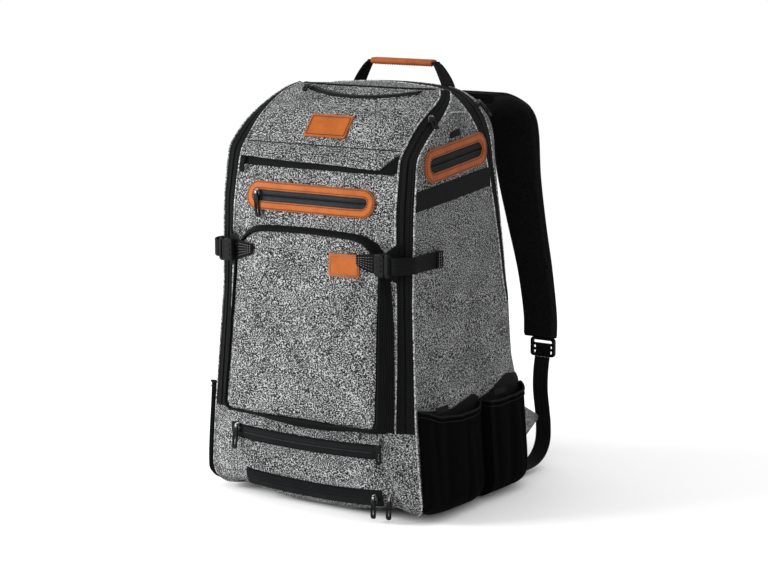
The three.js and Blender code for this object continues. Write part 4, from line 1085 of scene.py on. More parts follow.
def half_turns(start, per_side=60, per_corner=26):
    turns = joined((start, 3, per_side), (3, 4, per_corner), (4, 5, 24))
    return np.concatenate([turns, 10 - turns[::-1][1:]])


def inset(turn, depth):
    step = 0.01
    x, z = outline(turn, 1.0)
    before_x, before_z = outline(turn - step, 1.0)
    after_x, after_z = outline(turn + step, 1.0)
    along = np.stack([after_x - before_x, after_z - before_z], -1)
    along /= np.linalg.norm(along, axis=-1, keepdims=True)
    return x - along[..., 1] * depth, z + along[..., 0] * depth


def add_rear():
    def tape(turn, share):
        _, z = outline(turn, 1.0)
        y = rear_seam(z) + mix(-tape_front(z), TAPE_WIDTH / 2, share)
        out_x, out_z = inset(turn, back_curve(turn, y) - tape_lift(share, 1.2))
        return out_x, y, out_z

    grid = grid_of(tape, half_turns(turn_at(REAR_TAPE_FOOT, 1.0) + 0.002, 70), np.linspace(0, 1, 33))
    inward = to_middle(grid)
    make("rear_zip_tape", [wall(grid, TAPE_CLOTH, inward)], TAPE, ["rear_tape"])

    def gusset(turn, share):
        _, z = outline(turn, 1.0)
        reach = back_face(z) - curve_start(z)
        first = np.arcsin((rear_seam(z) + tape_back(z) - curve_start(z)) / reach)
        y = curve_start(z) + reach * np.sin(mix(first, math.radians(88.5), share))
        round_x, round_z = inset(turn, back_curve(turn, y))
        return round_x, y, round_z

    foot = turn_at(REAR_TAPE_FOOT, 1.0)
    low = joined((0, 1, 12), (1, 2, 14), (2, foot - 0.004, 34))
    half = np.concatenate([low, joined((foot, 3, 34), (3, 4, 26), (4, 5, 20))])
    loop = np.concatenate([half, 10 - half[::-1][1:-1]])
    loop[len(half):] = np.where(loop[len(half):] > 10, loop[len(half):] - 10, loop[len(half):])
    grid = grid_of(gusset, loop, np.linspace(0, 1, 30))
    inward = to_middle(grid, -60.0)
    # The gusset takes the darker canvas copy, painted shade.
    make("gusset_cloth", [wall(grid, CLOTH, inward, True)], SHADED_CANVAS, ["rear_gusset"])

    edge_turns = np.linspace(1.0, 5.0, 300)
    depths = np.interp(edge_turns, BACK_CURVE["turn"], BACK_CURVE["depth"])
    edge_x, edge_z = inset(edge_turns, depths * 0.97)

    def panel_half(z):
        return np.interp(z, edge_z, edge_x)

    def back(u, z):
        x = u * panel_half(z)
        edge = np.clip((1 - np.abs(u)) / 0.14, 0, 1)
        ends = np.clip((z - 25) / 14, 0, 1) * np.clip((BODY_HEIGHT - BACK_RADIUS - 3 - z) / 14, 0, 1)
        columns = 1 - 0.75 * np.exp(-((x / 12) ** 2))
        rows = 1.0
        for seam in (150.0, 290.0):
            rows = rows * (1 - 0.7 * np.exp(-(((z - seam) / 7) ** 2)))
        puff = 9.0 * np.sin(edge * math.pi / 2) ** 0.6 * np.sin(ends * math.pi / 2) ** 0.6 * columns * rows
        return x, back_face(z) + 0.5 + puff, z

    zs = np.linspace(25.2, BODY_HEIGHT - TOP_RISE - BACK_RADIUS - 0.4, 110)
    grid = grid_of(back, np.linspace(-1, 1, 71), zs)
    make("back_pad", [wall(grid, CLOTH, (0, -1, 0))], AIR_MESH, ["back_panel"])


# The hood, the pocket and the zips


def add_hood():
    def lip(u, v):
        z = HOOD_SEAM - v * HOOD_DEPTH * (0.88 + 0.12 * u)
        x = u * (front_half(np.full_like(z, HOOD_SEAM)) - v * mix(6.0, HOOD_END_CUT, (u + 1) / 2))
        stand = HOOD_STAND * np.maximum(v, 0) ** 0.6
        droop = 0.9 * np.sin(x / 17.0) * v + 0.6 * np.sin(x / 7.3 + 1.0) * v
        return x, front_face(x, z) - stand - 0.3 * droop, z + 0.35 * droop * v

    hood_flat = cut(2 * FLAP_HALF_WIDTH - HOOD_END_CUT, HOOD_DEPTH + HOOD_STAND)
    grid = grid_of(lip, np.linspace(-1, 1, 101), np.linspace(0, 1, 18))
    cloth = [wall(grid, CLOTH, (0, 1, 0))]
    make("hood_cloth", cloth, CANVAS, ["hood_lip"], sheet=(hood_flat, "stretched"))
    rim = grid[:, -1] + np.array([0.0, 1.2, 0.0])
    make("hood_hem", [piping_line(rim, 1.5)], CANVAS)

    ends = []
    for sign in (1, -1):
        def web(u, v):
            z = HOOD_SEAM - 2 - v * (HOOD_DEPTH + 2) * (0.88 + 0.12 * sign)
            inner = FLAP_HALF_WIDTH - v * (HOOD_END_CUT if sign > 0 else 6.0)
            x = sign * mix(FLAP_HALF_WIDTH - 1, inner, u)
            stand = 1.0 + u * (HOOD_STAND * v**0.6 - 1.5)
            return x, front_face(x, z) - np.maximum(stand, 0.8), z
        ends.append(wall(grid_of(web, np.linspace(0, 1, 10), np.linspace(0, 1, 14)), 0.8, (0, 1, 0)))
    make("hood_ends", ends, BAND)

    def lining(x, z):
        return np.moveaxis(on_front(x, z, 2.3), -1, 0)

    grid = grid_of(lining, np.linspace(-106, 106, 80), np.linspace(393, 405, 10))
    make("slot_lining", [wall(grid, 1.6, (0, 1, 0))], BAND, ["hood_lining"])

    tab = [on_front(-101.5, z, s) for z, s in ((404, 3.0), (399, 4.6), (393, 5.4), (387, 4.6), (383.5, 4.0))]
    make("hood_pull", [strap(smooth_path(tab, 20), (1, 0, 0), 7.0, 1.8, 0.5, 3, 0.12)], BAND)


def pocket_loop(margin):
    """The pocket's outline, walked round from the middle of its foot, at even steps."""
    half = POCKET_HALF_WIDTH + margin
    top = POCKET_TOP + margin
    foot = POCKET_FOOT - margin
    right = [(0.0, foot), (half - POCKET_FOOT_CORNER - 2, foot)]
    for angle in np.radians(np.linspace(-90, 0, 9)):
        x = half - POCKET_FOOT_CORNER * (1 - math.cos(angle))
        right.append((x, foot + POCKET_FOOT_CORNER * (1 + math.sin(angle))))
    for angle in np.radians(np.linspace(0, 90, 15)):
        x = half - POCKET_TOP_CORNER * (1 - math.cos(angle))
        right.append((x, top - POCKET_TOP_CORNER * (1 - math.sin(angle))))
    right.append((0.0, top))
    left = [(-x, z) for x, z in right[1:-1]][::-1]
    loop = np.array(right + left + right[:1], float)
    even = resample(loop, 241)[:-1]
    x, z = even.T
    return x, arched(x, z)


def add_pocket():
    edge = -(CLOTH + 0.6)

    def face(u, z):
        x = u * pocket_half(z, edge) * spread(z)
        rim = np.clip((1 - np.abs(u)) * 18, 0, 1) * np.clip((POCKET_TOP + edge - z) / 6, 0, 1)
        rim = rim * np.clip((z - POCKET_FOOT + edge) / 5, 0, 1)
        return x, pocket_front(x, z) + 1.2 * (1 - rim) ** 2, arched(x, z)

    zs = joined((POCKET_FOOT - edge, 125, 12), (125, 280, 66), (280, POCKET_TOP + edge, 30))
    pocket_flat = cut(2 * POCKET_HALF_WIDTH, POCKET_TOP - POCKET_FOOT)
    grid = grid_of(face, np.linspace(-1, 1, 81), zs)
    cloth = [wall(grid, CLOTH, (0, 1, 0))]
    make("pocket_cloth", cloth, CANVAS, ["pocket_face"], sheet=(pocket_flat, "stretched"))

    stations = [
        (1.0, 0.0), (0.95, 0.07), (0.84, 0.12), (0.73, 0.2), (0.58, 0.3), (0.49, 0.42),
        (0.44, 0.5), (0.33, 0.56), (0.29, 0.62), (0.35, 0.68), (0.24, 0.78), (0.11, 0.9),
        (0.05, 0.98), (-0.07, 1.04), (-0.2, 1.06), (-0.31, 1.0),
    ]
    rings = []
    flat_x, flat_z = pocket_loop(0.0)
    wide_x, wide_z = pocket_loop(GUSSET_FLARE)
    flare = np.interp(flat_z, [POCKET_FOOT, 230, 290, POCKET_TOP], [1.0, 0.95, 0.55, 0.35])
    flare = np.where(flat_z < POCKET_FOOT + 4, 0.9 + 0.35 * np.sin(flat_x / 27 + 1.4), flare)
    for margin, out in stations:
        share = margin * flare
        x = mix(flat_x, wide_x, share) * spread(flat_z)
        z = mix(flat_z, wide_z, share)
        belly = math.sin(math.pi * min(max(out, 0), 1))
        x = x + np.sign(x) * 1.5 * np.sin(z / 9 + 1.3 * np.sin(z / 23)) * (np.abs(flat_x) > 90) * belly
        z = z + np.where(flat_z < POCKET_FOOT + 4, 1.6 * np.sin(flat_x / 19) * belly, 0.0)
        near = front_face(x, z) - 0.5
        far = pocket_front(flat_x * spread(flat_z) * 0.995, flat_z)
        rings.append(np.stack([x, mix(near, far, out), z], -1))
    outer = np.swapaxes(np.array(rings), 0, 1)
    inward = np.stack([-outer[..., 0], np.full(outer.shape[:2], 40.0), 215.0 - outer[..., 2]], -1)
    make("pocket_band", [wall(outer, TAPE_CLOTH, inward, True)], TAPE, ["pocket_gusset"])
    x, z = pocket_loop(-1.0)
    x = x * spread(z)
    cord = np.stack([x, pocket_front(x * 0.99, z) - 0.4, z], -1)
    make("pocket_binding", [ring_cord(cord, 1.1)], BAND)


def zip_profile(v, depth=0.9):
    """A zip's lift across its width, v from -1 to 1."""
    return depth * (0.25 + 0.75 * np.exp(-((v / 0.45) ** 2))) - depth * 0.8 * np.exp(-((v / 0.07) ** 2))


def add_zips():
    zips = (
        ("flap_zip", 6.0, 75.0, 470.5, 6.5, 3.2),
        ("lower_zip", -8.0, 104.0, 78.0, 3.0, 14.0),
        ("base_zip", 6.0, 96.0, 23.0, 4.0, 17.0),
    )
    for name, middle, half, z, rise, width in zips:
        def strip(u, v):
            at = z + rise * u**2 + v * width / 2
            return np.moveaxis(on_front(middle + u * half, at, 1.3 + zip_profile(v)), -1, 0)

        grid = grid_of(strip, np.linspace(-1, 1, 110), np.linspace(-1, 1, 15))
        make(f"{name}_strip", [wall(grid, STRIP_CLOTH, (0, 1, 0))], COIL, [name])
        hems = []
        for edge in (-1, 1):
            us = np.linspace(-1, 1, 110)
            at = z + rise * us**2 + edge * (width / 2 + 0.7)
            hems.append(tube(on_front(middle + us * half, at, 0.5), 0.9, 6))
        small = name == "flap_zip"
        make(f"{name}_hems", hems, CANVAS if small else BAND)
    # A row of light stitches under the flap zip, along a crease: painted highlight of the crease.
    us = np.linspace(-1, 1, 90)
    line = on_front(18 + 64 * us, 460.5 + 2.5 * us**2, 0.3)
    out = on_front(18 + 64 * us, 460.5 + 2.5 * us**2, 1.3) - line
    make("flap_crease_highlight", stitches(line, out, 3.4, 2.3, 0.4), HIGHLIGHT_THREAD)


# Leather


def leather_ring(length, width, slot_length, slot_width, place):
    outside = rounded_loop(length, width, FRAME_CORNER)
    inside = rounded_loop(slot_length, slot_width, slot_width / 2 - 0.3)
    rows = [(0.0, 0.4), (0.0, 1.7), (0.03, 2.25), (0.09, 2.5), (0.3, 2.6), (0.5, 2.65)]
    rows += [(1 - share, stand) for share, stand in rows[-2::-1]]
    rings = [place(*mix(outside, inside, share).T, stand) for share, stand in rows]
    lines = []
    for share in (0.17, 0.83):
        path = place(*mix(outside, inside, share).T, 2.6)
        above = place(*mix(outside, inside, share).T, 3.6)
        path = np.concatenate([path, path[:1]])
        out = np.concatenate([above, above[:1]]) - path
        lines += stitches(path, out, 3.0, 2.1, 0.6)
    return loop_tube(rings), lines


def slot_strip(length, width, place):
    """The coated zip in a frame: two flat halves that meet in a groove."""
    half = length / 2 - 0.4
    tall = width / 2 - 0.2

    def strip(u, v):
        x = u * half
        over = np.maximum(np.abs(x) - (half - tall), 0)
        reach = np.maximum(np.sqrt(np.maximum(tall**2 - over**2, 0)), 0.8)
        fold = 0.55 * np.exp(-(((np.abs(v) - 0.2) / 0.1) ** 2)) - 1.1 * np.exp(-((v / 0.07) ** 2))
        fold = fold + 0.25 * np.cos(v * math.pi * 3)
        return np.moveaxis(place(x, v * reach, 1.5 + fold), -1, 0)

    us = joined((-1, -0.9, 12), (-0.9, 0.9, 60), (0.9, 1, 12))
    return grid_of(strip, us, np.linspace(-1, 1, 25))


def add_frames():
    def front_place(x, z, stand):
        return on_front(x - 2.5, 360.0 + z, stand)

    ring, lines = leather_ring(177, 32, 157, 12.5, front_place)
    make("front_leather_frame", [ring], LEATHER, ["front_frame"])
    make("front_frame_stitches", lines, DARK_THREAD)
    strip = wall(slot_strip(157, 12.5, front_place), STRIP_CLOTH, (0, 1, 0))
    # The front slot zip takes the lighter coil copy, painted reflection.
    make("front_slot_zip", [strip], REFLECTION_COIL, ["front_frame_zip"])

    tilt = math.radians(6)
    for name, sign in SIDES:
        def place(along, up, stand):
            y = -38 + along * math.cos(tilt) - up * math.sin(tilt)
            z = 407 + along * math.sin(tilt) + up * math.cos(tilt)
            return on_side(sign, y, z, stand)

        ring, lines = leather_ring(130, 38, 110, 17, place)
        make(f"side_leather_frame_{name}", [ring], SIDE_LEATHER, [f"side_frame_{name}"])
        make(f"side_frame_stitches_{name}", lines, DARK_THREAD)
        strip = wall(slot_strip(110, 17, place), STRIP_CLOTH, (-sign, 0, 0))
        make(f"side_slot_zip_{name}", [strip], COIL, [f"side_frame_zip_{name}"])

        def band(u, v):
            middle = 364.5 + 14 * u
            low = front_edge(middle) + 1.2
            high = rear_seam(middle) - tape_front(middle)
            return np.moveaxis(on_side(sign, mix(low, high, u), middle + v * 22, 1.9), -1, 0)

        grid = grid_of(band, np.linspace(0, 1, 60), np.linspace(-0.5, 0.5, 16))
        cloth = [wall(grid, 1.5, (-sign, 0, 0))]
        make(f"side_band_cloth_{name}", cloth, BAND, [f"side_band_{name}"])


def patch(length, width, place):
    """A leather patch with a line of stitches along its edge."""
    depth = 2.0
    plate = slab(rounded_loop(length, width, 2.0, 7, 14), depth, 0.5, place)
    line = rounded_loop(length - 5, width - 5, 0.6, 5, 20)
    path = place(*line.T, depth)
    out = place(*line.T, depth + 1) - path
    path, out = np.concatenate([path, path[:1]]), np.concatenate([out, out[:1]])
    return [plate], stitches(path, out, 2.9, 2.0, 0.55)


def add_labels():
    def large(x, z, stand):
        return on_front(x - 1, 439.3 + z, 0.5 + stand)

    shapes, lines = patch(58, 23.5, large)
    make("large_patch", shapes, LEATHER, ["front_label"])
    make("large_patch_stitches", lines, DARK_THREAD)

    def small(x, z, stand):
        at_x = 56 + x
        at_z = 291.5 + z
        y = pocket_front(at_x, at_z) - 0.2 - stand
        return np.stack(np.broadcast_arrays(at_x, y, at_z), -1)

    shapes, lines = patch(40, 26, small)
    make("small_patch", shapes, LEATHER, ["small_label"])
    make("small_patch_stitches", lines, GREY_THREAD)


# The mesh pockets


def mesh_point(sign, run, turn, stand):
    """A place over the lower walls, run millimetres behind the middle and lifted off them."""
    x, z = outline(turn, 0.0)
    corner = (np.minimum(turn, 2) - 1) * math.pi / 2
    out = np.where(turn < 2, np.sin(corner), 1.0)
    down = np.where(turn < 2, -np.cos(corner), 0.0)
    lift = stand - back_curve(turn, run)
    return np.stack([sign * (x + out * lift), run + 0 * x, z + down * lift], -1)


MESH_GATHER = 1.15
# In MESH_PARTS, lining gives the top heights of a black sheet inside each pocket: painted shade of the
# pocket's inside.
MESH_PARTS = {
    "front": {
        "run": (-131.0, -1.3),
        "along": [0.0, 0.2, 0.55, 0.9, 1.0],
        "rim": [131.0, 121.0, 115.0, 115.0, 122.0],
        "lining": [131.0, 126.0, 121.0, 130.0, 124.0],
        "folds": [(0.16, 0.05, 0.6), (0.34, 0.07, 0.9), (0.58, 0.05, 0.7), (0.8, 0.06, 1.0)],
    },
    "rear": {
        "run": (-0.7, 101.0),
        "along": [0.0, 0.2, 0.6, 0.85, 1.0],
        "rim": [120.0, 117.0, 117.0, 120.0, 124.0],
        "lining": [122.0, 125.0, 141.0, 138.0, 126.0],
        "folds": [(0.2, 0.06, 0.8), (0.45, 0.07, 0.9), (0.72, 0.05, 0.7)],
    },
}


def add_mesh_pockets():
    foot = 1.45
    for label, sizes in MESH_PARTS.items():
        start, end = sizes["run"]

        def stand_at(u, up):
            rise = np.sin(math.pi / 2 * np.minimum(1.3 * up, 1))
            ends = np.minimum(u / 0.03, 1) ** 0.5 * np.minimum((1 - u) / 0.22, 1) ** 0.7
            bulge = 11.5 * ends * rise
            gather = 0.0
            for middle, width, depth in sizes["folds"]:
                sway = middle + 0.05 * np.sin(3 * up + 9 * middle)
                gather = gather + depth * np.exp(-(((u - sway) / width) ** 2))
            reach = np.clip((up - 0.2) / 0.6, 0, 1) * (1 - 0.5 * np.clip((up - 0.9) / 0.1, 0, 1))
            return 1.5 + np.minimum(u / 0.03, 1) + bulge - 2.2 * gather * reach * ends

        for name, sign in SIDES:
            def point(u, up, drop=0.0, extra=0.0):
                top = turn_at(np.interp(u, sizes["along"], sizes["rim"]) - drop, 0.0)
                low = foot + (0.35 * np.exp(-u / 0.15) if label == "front" else 0.0)
                return mesh_point(sign, mix(start, end, u), mix(low, top, up), stand_at(u, up) + extra)

            def surface(u, up):
                return np.moveaxis(point(u, up), -1, 0)

            def back(u, v):
                z = mix(98.0, np.interp(u, sizes["along"], sizes["lining"]), v)
                return np.moveaxis(mesh_point(sign, mix(start, end, u), turn_at(z, 0.0), 1.9 + 0 * u), -1, 0)

            us = np.concatenate([np.linspace(0, 0.03, 9), np.linspace(0.04, 0.998, 104)])
            grid = grid_of(surface, us, np.linspace(0, 1, 68))
            inward = np.stack([-grid[..., 0], np.minimum(-grid[..., 1], 0), 60 - grid[..., 2]], -1)
            cloth = wall(grid, 1.4, inward)
            held = (cut(MESH_GATHER * (end - start), max(sizes["rim"])), "gathered")
            replaced = [f"mesh_pocket_{label}_{name}"]
            make(f"mesh_cloth_{label}_{name}", [cloth], MESH, replaced, sheet=held)
            # A black sheet on the wall inside the pocket, reaching above the rim in places: painted shade of
            # the pocket's inside.
            lining = grid_of(back, us[2:-2], np.linspace(0, 1, 8))
            make(f"mesh_pocket_shade_{label}_{name}", [wall(lining, STRIP_CLOTH, (-sign, 0, 0))], BAND)
            ones = np.ones_like(us)
            hem = [tube(point(us, ones, 0.0, 0.2), 1.5, 8), tube(point(us, ones, 6.0, 0.6), 0.6, 6)]
            make(f"mesh_hem_{label}_{name}", hem, BAND)


# Straps and buckles


def mirrored(half):
    """A flat outline from its lower half."""
    return np.array(half + [(x, -z) for x, z in half[::-1]], float)


def raised(place, by):
    """The same placing, further out."""
    return lambda x, z, stand: place(x, z, by + stand)


def add_compression():
    up = np.array([0.0, 0.0, 1.0])
    for name, sign in SIDES:
        edge = POCKET_HALF_WIDTH - CLOTH
        back = float(pocket_skin(edge, STRAP_HEIGHT)) - 0.9
        start = edge + 0.9

        def at(x, y, z=STRAP_HEIGHT):
            return np.array([sign * x, y, z])

        us = np.linspace(0, 1, 26)
        tab = []
        for u in us:
            x = edge - 26 * (1 - u)
            stand = 1.6 + 1.0 * math.sin(u * math.pi)
            tab.append(at(x, float(pocket_front(sign * x, STRAP_HEIGHT)) - stand, STRAP_HEIGHT + 3 * (1 - u)))
        widths = mix(11.0, 24.0, us**0.8)
        loop = strap(tab, up, widths, 2.0, 0.6, 6, 0.35)
        make(f"buckle_loop_{name}", [loop], WEBBING, [f"buckle_tab_{name}"])
        lines = []
        above = np.array([0, -1.15, 0])
        for row in (-8, -4, 0, 4, 8):
            path = np.array([p + up * row * (0.4 + 0.6 * u) + above for p, u in zip(tab, us)])
            lines += stitches(path[2:-4], (0, -1, 0), 3.0, 2.0, 0.35)
        make(f"buckle_loop_stitches_{name}", lines, GREY_THREAD)

        def place(x, z, stand):
            return np.stack(np.broadcast_arrays(sign * (start + x), back - stand, STRAP_HEIGHT + z), -1)

        female = mirrored([(0, -11), (1.5, -12.5), (9, -13.4), (12.5, -12), (13, -8)])
        male = mirrored([(11.5, -8.5), (14, -12.8), (16.5, -14), (19, -12.5), (20, -10)])
        shapes = [slab(female, 8.6, 1.4, place), slab(male, 6.6, 1.2, raised(place, 1.0))]
        bar = rounded_loop(3.0, 21, 1.2, 4, 3) + np.array([17.2, 0])
        shapes.append(slab(bar, 1.6, 0.5, raised(place, 7.2)))
        rib = rounded_loop(7.0, 3.0, 1.4, 4, 3)
        for shift in (-6, 0, 6):
            shapes.append(slab(rib + np.array([6.2, shift]), 1.2, 0.4, raised(place, 8.2)))
        make(f"buckle_body_{name}", shapes, PLASTIC, [f"buckle_{name}"])

        side = float(side_width(-100.0, STRAP_HEIGHT)) + 2.6
        corner = float(front_edge(STRAP_HEIGHT))
        path = [
            at(start + 20.3, back - 4.5), at(start + 26, back - 3.5), at(side - 1, corner - 14),
            at(side + 2, corner - 4), at(side + 1, corner + 8), at(side, corner + 31), at(side, corner + 50),
        ]
        webs = [strap(smooth_path(path, 60), up, 19.5, 2.0, 0.6, 9, 0.14)]
        folded = ((1.2, 41), (2.6, 44), (3.0, 48), (2.4, 51.5))
        fold = [at(side + out, corner + run) for out, run in folded]
        webs.append(strap(smooth_path(fold, 16), up, 19.5, 2.2, 0.6, 9, 0.14))
        make(f"compression_web_{name}", webs, WEBBING, [f"compression_strap_{name}"])
        lines = []
        for run in (43.0, 46.5):
            ends = [at(side + 4.0, corner + run, STRAP_HEIGHT + rise) for rise in (-9, 9)]
            lines += stitches(resample(ends, 12), (sign, 0, 0), 2.6, 1.9, 0.35)
        make(f"compression_stitches_{name}", lines, GREY_THREAD)

        wing_end = 117.0
        far = float(front_face(sign * wing_end, STRAP_HEIGHT)) - 1.9
        us = np.linspace(0, 1, 24)
        path = []
        for u in us:
            y = mix(back + 4.2, far, u) - 0.8 * math.sin(u * math.pi)
            path.append(at(mix(wing_end - 12, wing_end, u), y))
        wing = strap(path, up, mix(24.0, 46.0, us**1.2), 2.0, 0.5)
        make(f"wing_cloth_{name}", [wing], BAND, [f"strap_wing_{name}"])


PAD_ROWS = {
    "reach": [0.0, 0.3, 0.62, 0.8, 0.87, 0.88, 0.93, 0.985, 1.0, 0.98],
    "height": [1.0, 1.0, 0.965, 0.92, 0.84, 0.67, 0.48, 0.28, 0.1, 0.0],
    "lean": [0.0, 0.05, 0.12, 0.18, 0.24, 0.36, 0.55, 0.78, 0.95, 1.0],
    "width": [1.0, 1.0, 1.0, 0.98, 0.92, 0.7, 0.4, 0.14, 0.03, 0.0],
}
WEB_ROWS = {
    "reach": [0.96, 0.9, 0.87, 0.89, 0.9, 0.86, 0.72, 0.5, 0.2, 0.0],
    "height": [1.0, 0.86, 0.7, 0.52, 0.38, 0.23, 0.12, 0.065, 0.055, 0.06],
}


def pad_surface(path, widths, thick):
    """A crowned pad: full in the middle, flat and thin at its two sewn edges."""
    share = np.linspace(-1, 1, 33)
    rim = np.clip((1 - np.abs(share)) / 0.16, 0, 1)
    lift = mix(2.2, thick / 2, np.sin(rim * math.pi / 2) ** 0.8)
    return swept(path, (1, 0, 0), share, lift, widths)


def add_shoulder_straps():
    root = float(back_face(468.0 - 13.0)) + 1.1
    reach = 197.0
    for name, sign in SIDES:
        rows = np.stack([
            sign * mix(67.0, 110.0, np.array(PAD_ROWS["lean"])),
            mix(root, reach, np.array(PAD_ROWS["reach"])),
            mix(160.0, 461.5, np.array(PAD_ROWS["height"])),
            mix(44.0, 66.0, np.array(PAD_ROWS["width"])),
        ], -1)
        smooth = smooth_path(rows, 120)
        path, widths = smooth[:, :3], smooth[:, 3]
        sections = pad_surface(path, widths, 12.0)
        dents = waves(sections.reshape(-1, 3), 46.0, 31).reshape(sections.shape[:2])
        middle = sections.mean(axis=1, keepdims=True)
        sections = sections + (middle - sections) * (0.012 * (dents[..., None] + 1))
        pad = [capped(sections)]
        make(f"strap_pad_{name}", pad, AIR_MESH, [f"shoulder_strap_{name}"])
        edges = []
        for side in (-1, 1):
            line = path + np.array([1.0, 0.0, 0.0]) * (side * (widths / 2 - 1.0))[:, None]
            edges.append(tube(line, 2.5, 8))
        make(f"strap_binding_{name}", edges, BAND)

        foot = rows[-1, :3]
        lock_top = foot[2] - 0.6

        def place(x, z, stand):
            parts = (foot[0] + sign * 4 + x, foot[1] + 2.5 - stand, lock_top - 12 + z)
            return np.stack(np.broadcast_arrays(*parts), -1)

        outside = rounded_loop(34, 24, 4, 6, 6)
        inside = rounded_loop(27, 17, 2, 6, 6)
        shapes = [ring_slab(outside, inside, 5.0, 1.0, place)]
        for shift in (-3.2, 3.2):
            shapes.append(slab(rounded_loop(29, 3.2, 1.3, 4, 4) + np.array([0, shift]), 4.2, 0.9, place))
        make(f"lock_body_{name}", shapes, PLASTIC, [f"ladder_lock_{name}"])

        top = lock_top - 24.3
        end = float(back_face(0.0)) - 4.5
        rows = np.stack([
            sign * mix(foot[0] * sign + 4, 124.0, 1 - np.array(WEB_ROWS["height"])),
            mix(end, reach, np.array(WEB_ROWS["reach"])),
            top * np.array(WEB_ROWS["height"]),
        ], -1)
        path = smooth_path(rows, 130)
        entry = np.array([[foot[0] + sign * 4, foot[1] + 0.3, lock_top - 9.0]])
        webs = [strap(path, (1, 0, 0), 21.0, 2.0, 0.6, 10, 0.14)]
        inner = smooth_path(np.concatenate([entry, entry + [[0, 0, -8]], path[:1] + [[0, 0, 0.2]]]), 14)
        webs.append(strap(inner, (1, 0, 0), 21.0, 2.0, 0.6, 10, 0.14))
        make(f"lower_web_{name}", webs, WEBBING, [f"lower_webbing_{name}"])

        tip = mix(end, reach, 0.89) - 1.7
        base = float(back_face(66.0)) - 1.0
        us = np.linspace(0, 1, 22)
        path = np.array([[sign * mix(127.0, 113.0, u), mix(base, tip, u), mix(66.0, 60.0, u)] for u in us])
        anchor = strap(path, (0, 0, 1), mix(54.0, 6.0, us), 2.4, 0.7)
        make(f"anchor_cloth_{name}", [anchor], CANVAS, [f"strap_anchor_{name}"])


def add_handle():
    across = (0, 1, 0)
    middle = 52.0
    high = 509.0
    half_grip = 43.5

    def top_at(x):
        wide, tall, rise, start, inner = shoulder(1.0)
        over = np.clip((abs(x) - inner) / wide, 0, 1)
        crown = top_height(1.0) - rise * (x / inner) ** 2
        return start + tall * math.sqrt(1 - over**2) if abs(x) > inner else crown

    half = [
        (65, top_at(65) - 6.0, 26), (62.5, top_at(62.5), 26), (59, top_at(59) + 6.5, 24.5), (54, 495.5, 21),
        (49.5, 501.5, 17.0), (45.5, 504.3, 13.5), (41, 505, 12),
    ]
    rows = [(-x, middle, z, w) for x, z, w in half] + [(x, middle, z, w) for x, z, w in half[::-1]]
    smooth = smooth_path(rows, 150)
    web = strap(smooth[:, :3], across, smooth[:, 3], 2.4, 0.7, 9, 0.15)
    make("handle_web", [web], WEBBING, ["handle_webbing"])

    sections = []
    end = half_grip - 3
    for x in joined((-half_grip, -end, 5), (-end, end, 40), (end, half_grip, 5)):
        pinch = 1 - 0.12 * max(0.0, (abs(x) - end) / 3) ** 2
        loop = rounded_loop(14 * pinch, 7.6 * pinch, 3.7, 10, 6)
        wobble = 1 + 0.012 * math.sin(x / 5.1) + 0.01 * math.sin(x / 2.3)
        y = middle + loop[:, 0] * wobble
        z = high - 4 + loop[:, 1] * wobble
        sections.append(np.stack([np.full(len(loop), x), y, z], -1))
    make("grip_leather", [capped(sections)], SIDE_LEATHER, ["handle_grip"])
    seam = np.array([(x, middle, high - 8.2) for x in np.linspace(-half_grip + 2, half_grip - 2, 40)])
    make("grip_stitches", stitches(seam, (0, 0, -1), 3.4, 2.2, 0.4), DARK_THREAD)


# Sliders and tags


def axes(outwards, upwards):
    out = np.asarray(outwards, float) / np.linalg.norm(outwards)
    right = np.cross(upwards, out)
    right = right / np.linalg.norm(right)
    return right, np.cross(out, right), out


def slider(name, point, outwards, upwards, pull, swing=0.0):
    """A zip slider with a moulded pull that hangs from it and swings to one side."""
    right, up, out = axes(outwards, upwards)

    def place(x, z, stand):
        x, z, stand = np.broadcast_arrays(x, z, np.asarray(stand, float))
        return point + x[..., None] * right + z[..., None] * up + stand[..., None] * out

    half = [(-3.2, -4.6), (-3.8, 0.5), (-2.6, 4.4), (-1.0, 5.2)]
    body = np.array(half + [(-x, z) for x, z in half[::-1]], float)
    parts = [slab(body, 1.2, 0.4, place), slab(body * 0.94, 1.2, 0.4, raised(place, 2.0))]
    rise = ((3.6, 2.8), (3.0, 4.3), (0.6, 4.8), (-1.8, 4.3), (-2.6, 2.8))
    arch = [place(0, z, stand) for z, stand in rise]
    parts.append(strap(smooth_path(arch, 14), right, 2.6, 0.9, 0.3))
    make(f"{name}_body", parts, METAL, [name])

    def hang(x, z, stand):
        z = np.asarray(z, float)
        return place(x + swing * -z, z, 3.4 + stand)

    outer = rounded_loop(6.4, pull, 2.4, 7, 8) + np.array([0, -pull / 2])
    slot = rounded_loop(2.6, pull * 0.36, 1.2, 7, 8) + np.array([0, -pull * 0.62])
    make(f"{name}_pull", [ring_slab(outer, slot, 2.2, 0.6, hang)], RUBBER)


def front_normal(x, z):
    return on_front(x, z, 1.0) - on_front(x, z, 0.0)


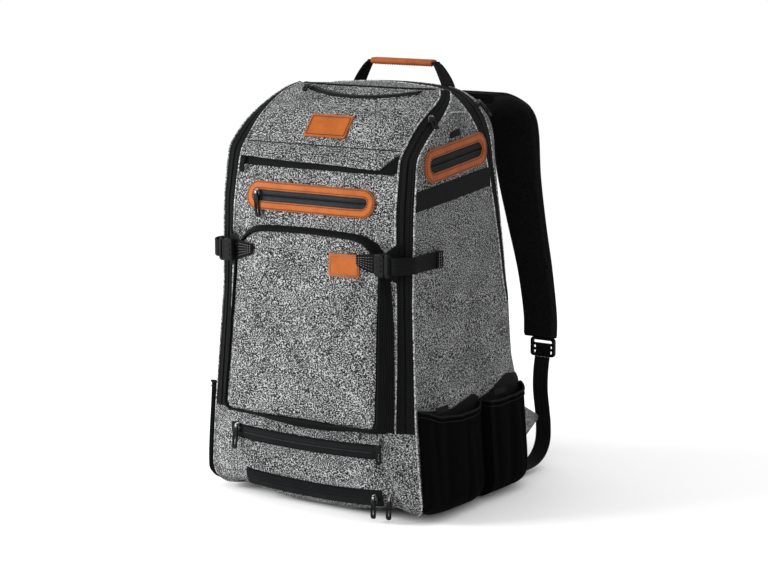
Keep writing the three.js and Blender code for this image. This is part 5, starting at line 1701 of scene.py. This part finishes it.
def add_sliders():
    up = np.array([0.0, 0.0, 1.0])
    forward = np.array([0.0, -1.0, 0.0])
    x, z = -70.0, 475.5
    slope = on_front(x, z + 1, 0.0) - on_front(x, z - 1, 0.0)
    slider("flap_slider", on_front(x, z, 1.8), front_normal(x, z), slope, 17.0, 0.35)
    x = -75.0
    slider("frame_slider", on_front(x, 361.5, 2.0), forward, up, 27.0, 0.12)
    x = -100.0
    slider("lower_slider", on_front(x, 84.5, 2.0), forward, up, 26.0, -0.1)
    for name, x, swing in (("left", 93.0, 0.02), ("right", 111.0, -0.03)):
        slider(f"base_slider_{name}", on_front(x, 26.5, 2.6), forward, up, 22.0, swing)
    x, z = 102.0, 92.0
    slider("pocket_slider", on_front(x, z, 2.4), front_normal(x, z), up, 24.0)
    z = 451.0
    x = float(front_half(z) + half_width(z, 0.0)) / 2
    slider("front_slider", on_front(x, z, 0.6), front_normal(x, z), up, 20.0, 0.35)
    rear_x, rear_z = (float(v) for v in outline(3.5, 1.0))
    normal = np.array([1.0, 0.0, 1.0]) / math.sqrt(2)
    point = np.array([rear_x, float(rear_seam(rear_z)), rear_z]) + normal * 0.4
    slider("rear_slider", point, normal, (-1, 0, 1), 22.0, -0.1)


def add_tags():
    for name, sign in SIDES:
        shapes = []
        for run, turn_z in ((-98.0, 128.5), (27.0, 127.5)):
            def place(x, z, stand):
                return mesh_point(sign, run + x, turn_at(turn_z + z, 0.0), 12.0 + stand)
            shapes.append(slab(rounded_loop(26, 7, 0.8, 4, 10), 1.0, 0.3, place))
        make(f"pocket_tags_{name}", shapes, BAND)

        def upper(x, z, stand):
            return on_side(sign, -38 + x, 434.0 + z + x * 0.1, 0.3 + stand)

        make(f"frame_tag_{name}", [slab(rounded_loop(20, 7, 0.8, 4, 8), 1.2, 0.3, upper)], BAND)


add_camera()
add_studio()
add_front()
add_body()
add_rear()
add_piping()
add_hood()
add_pocket()
add_zips()
add_frames()
add_labels()
add_mesh_pockets()
add_compression()
add_shoulder_straps()
add_handle()
add_sliders()
add_tags()
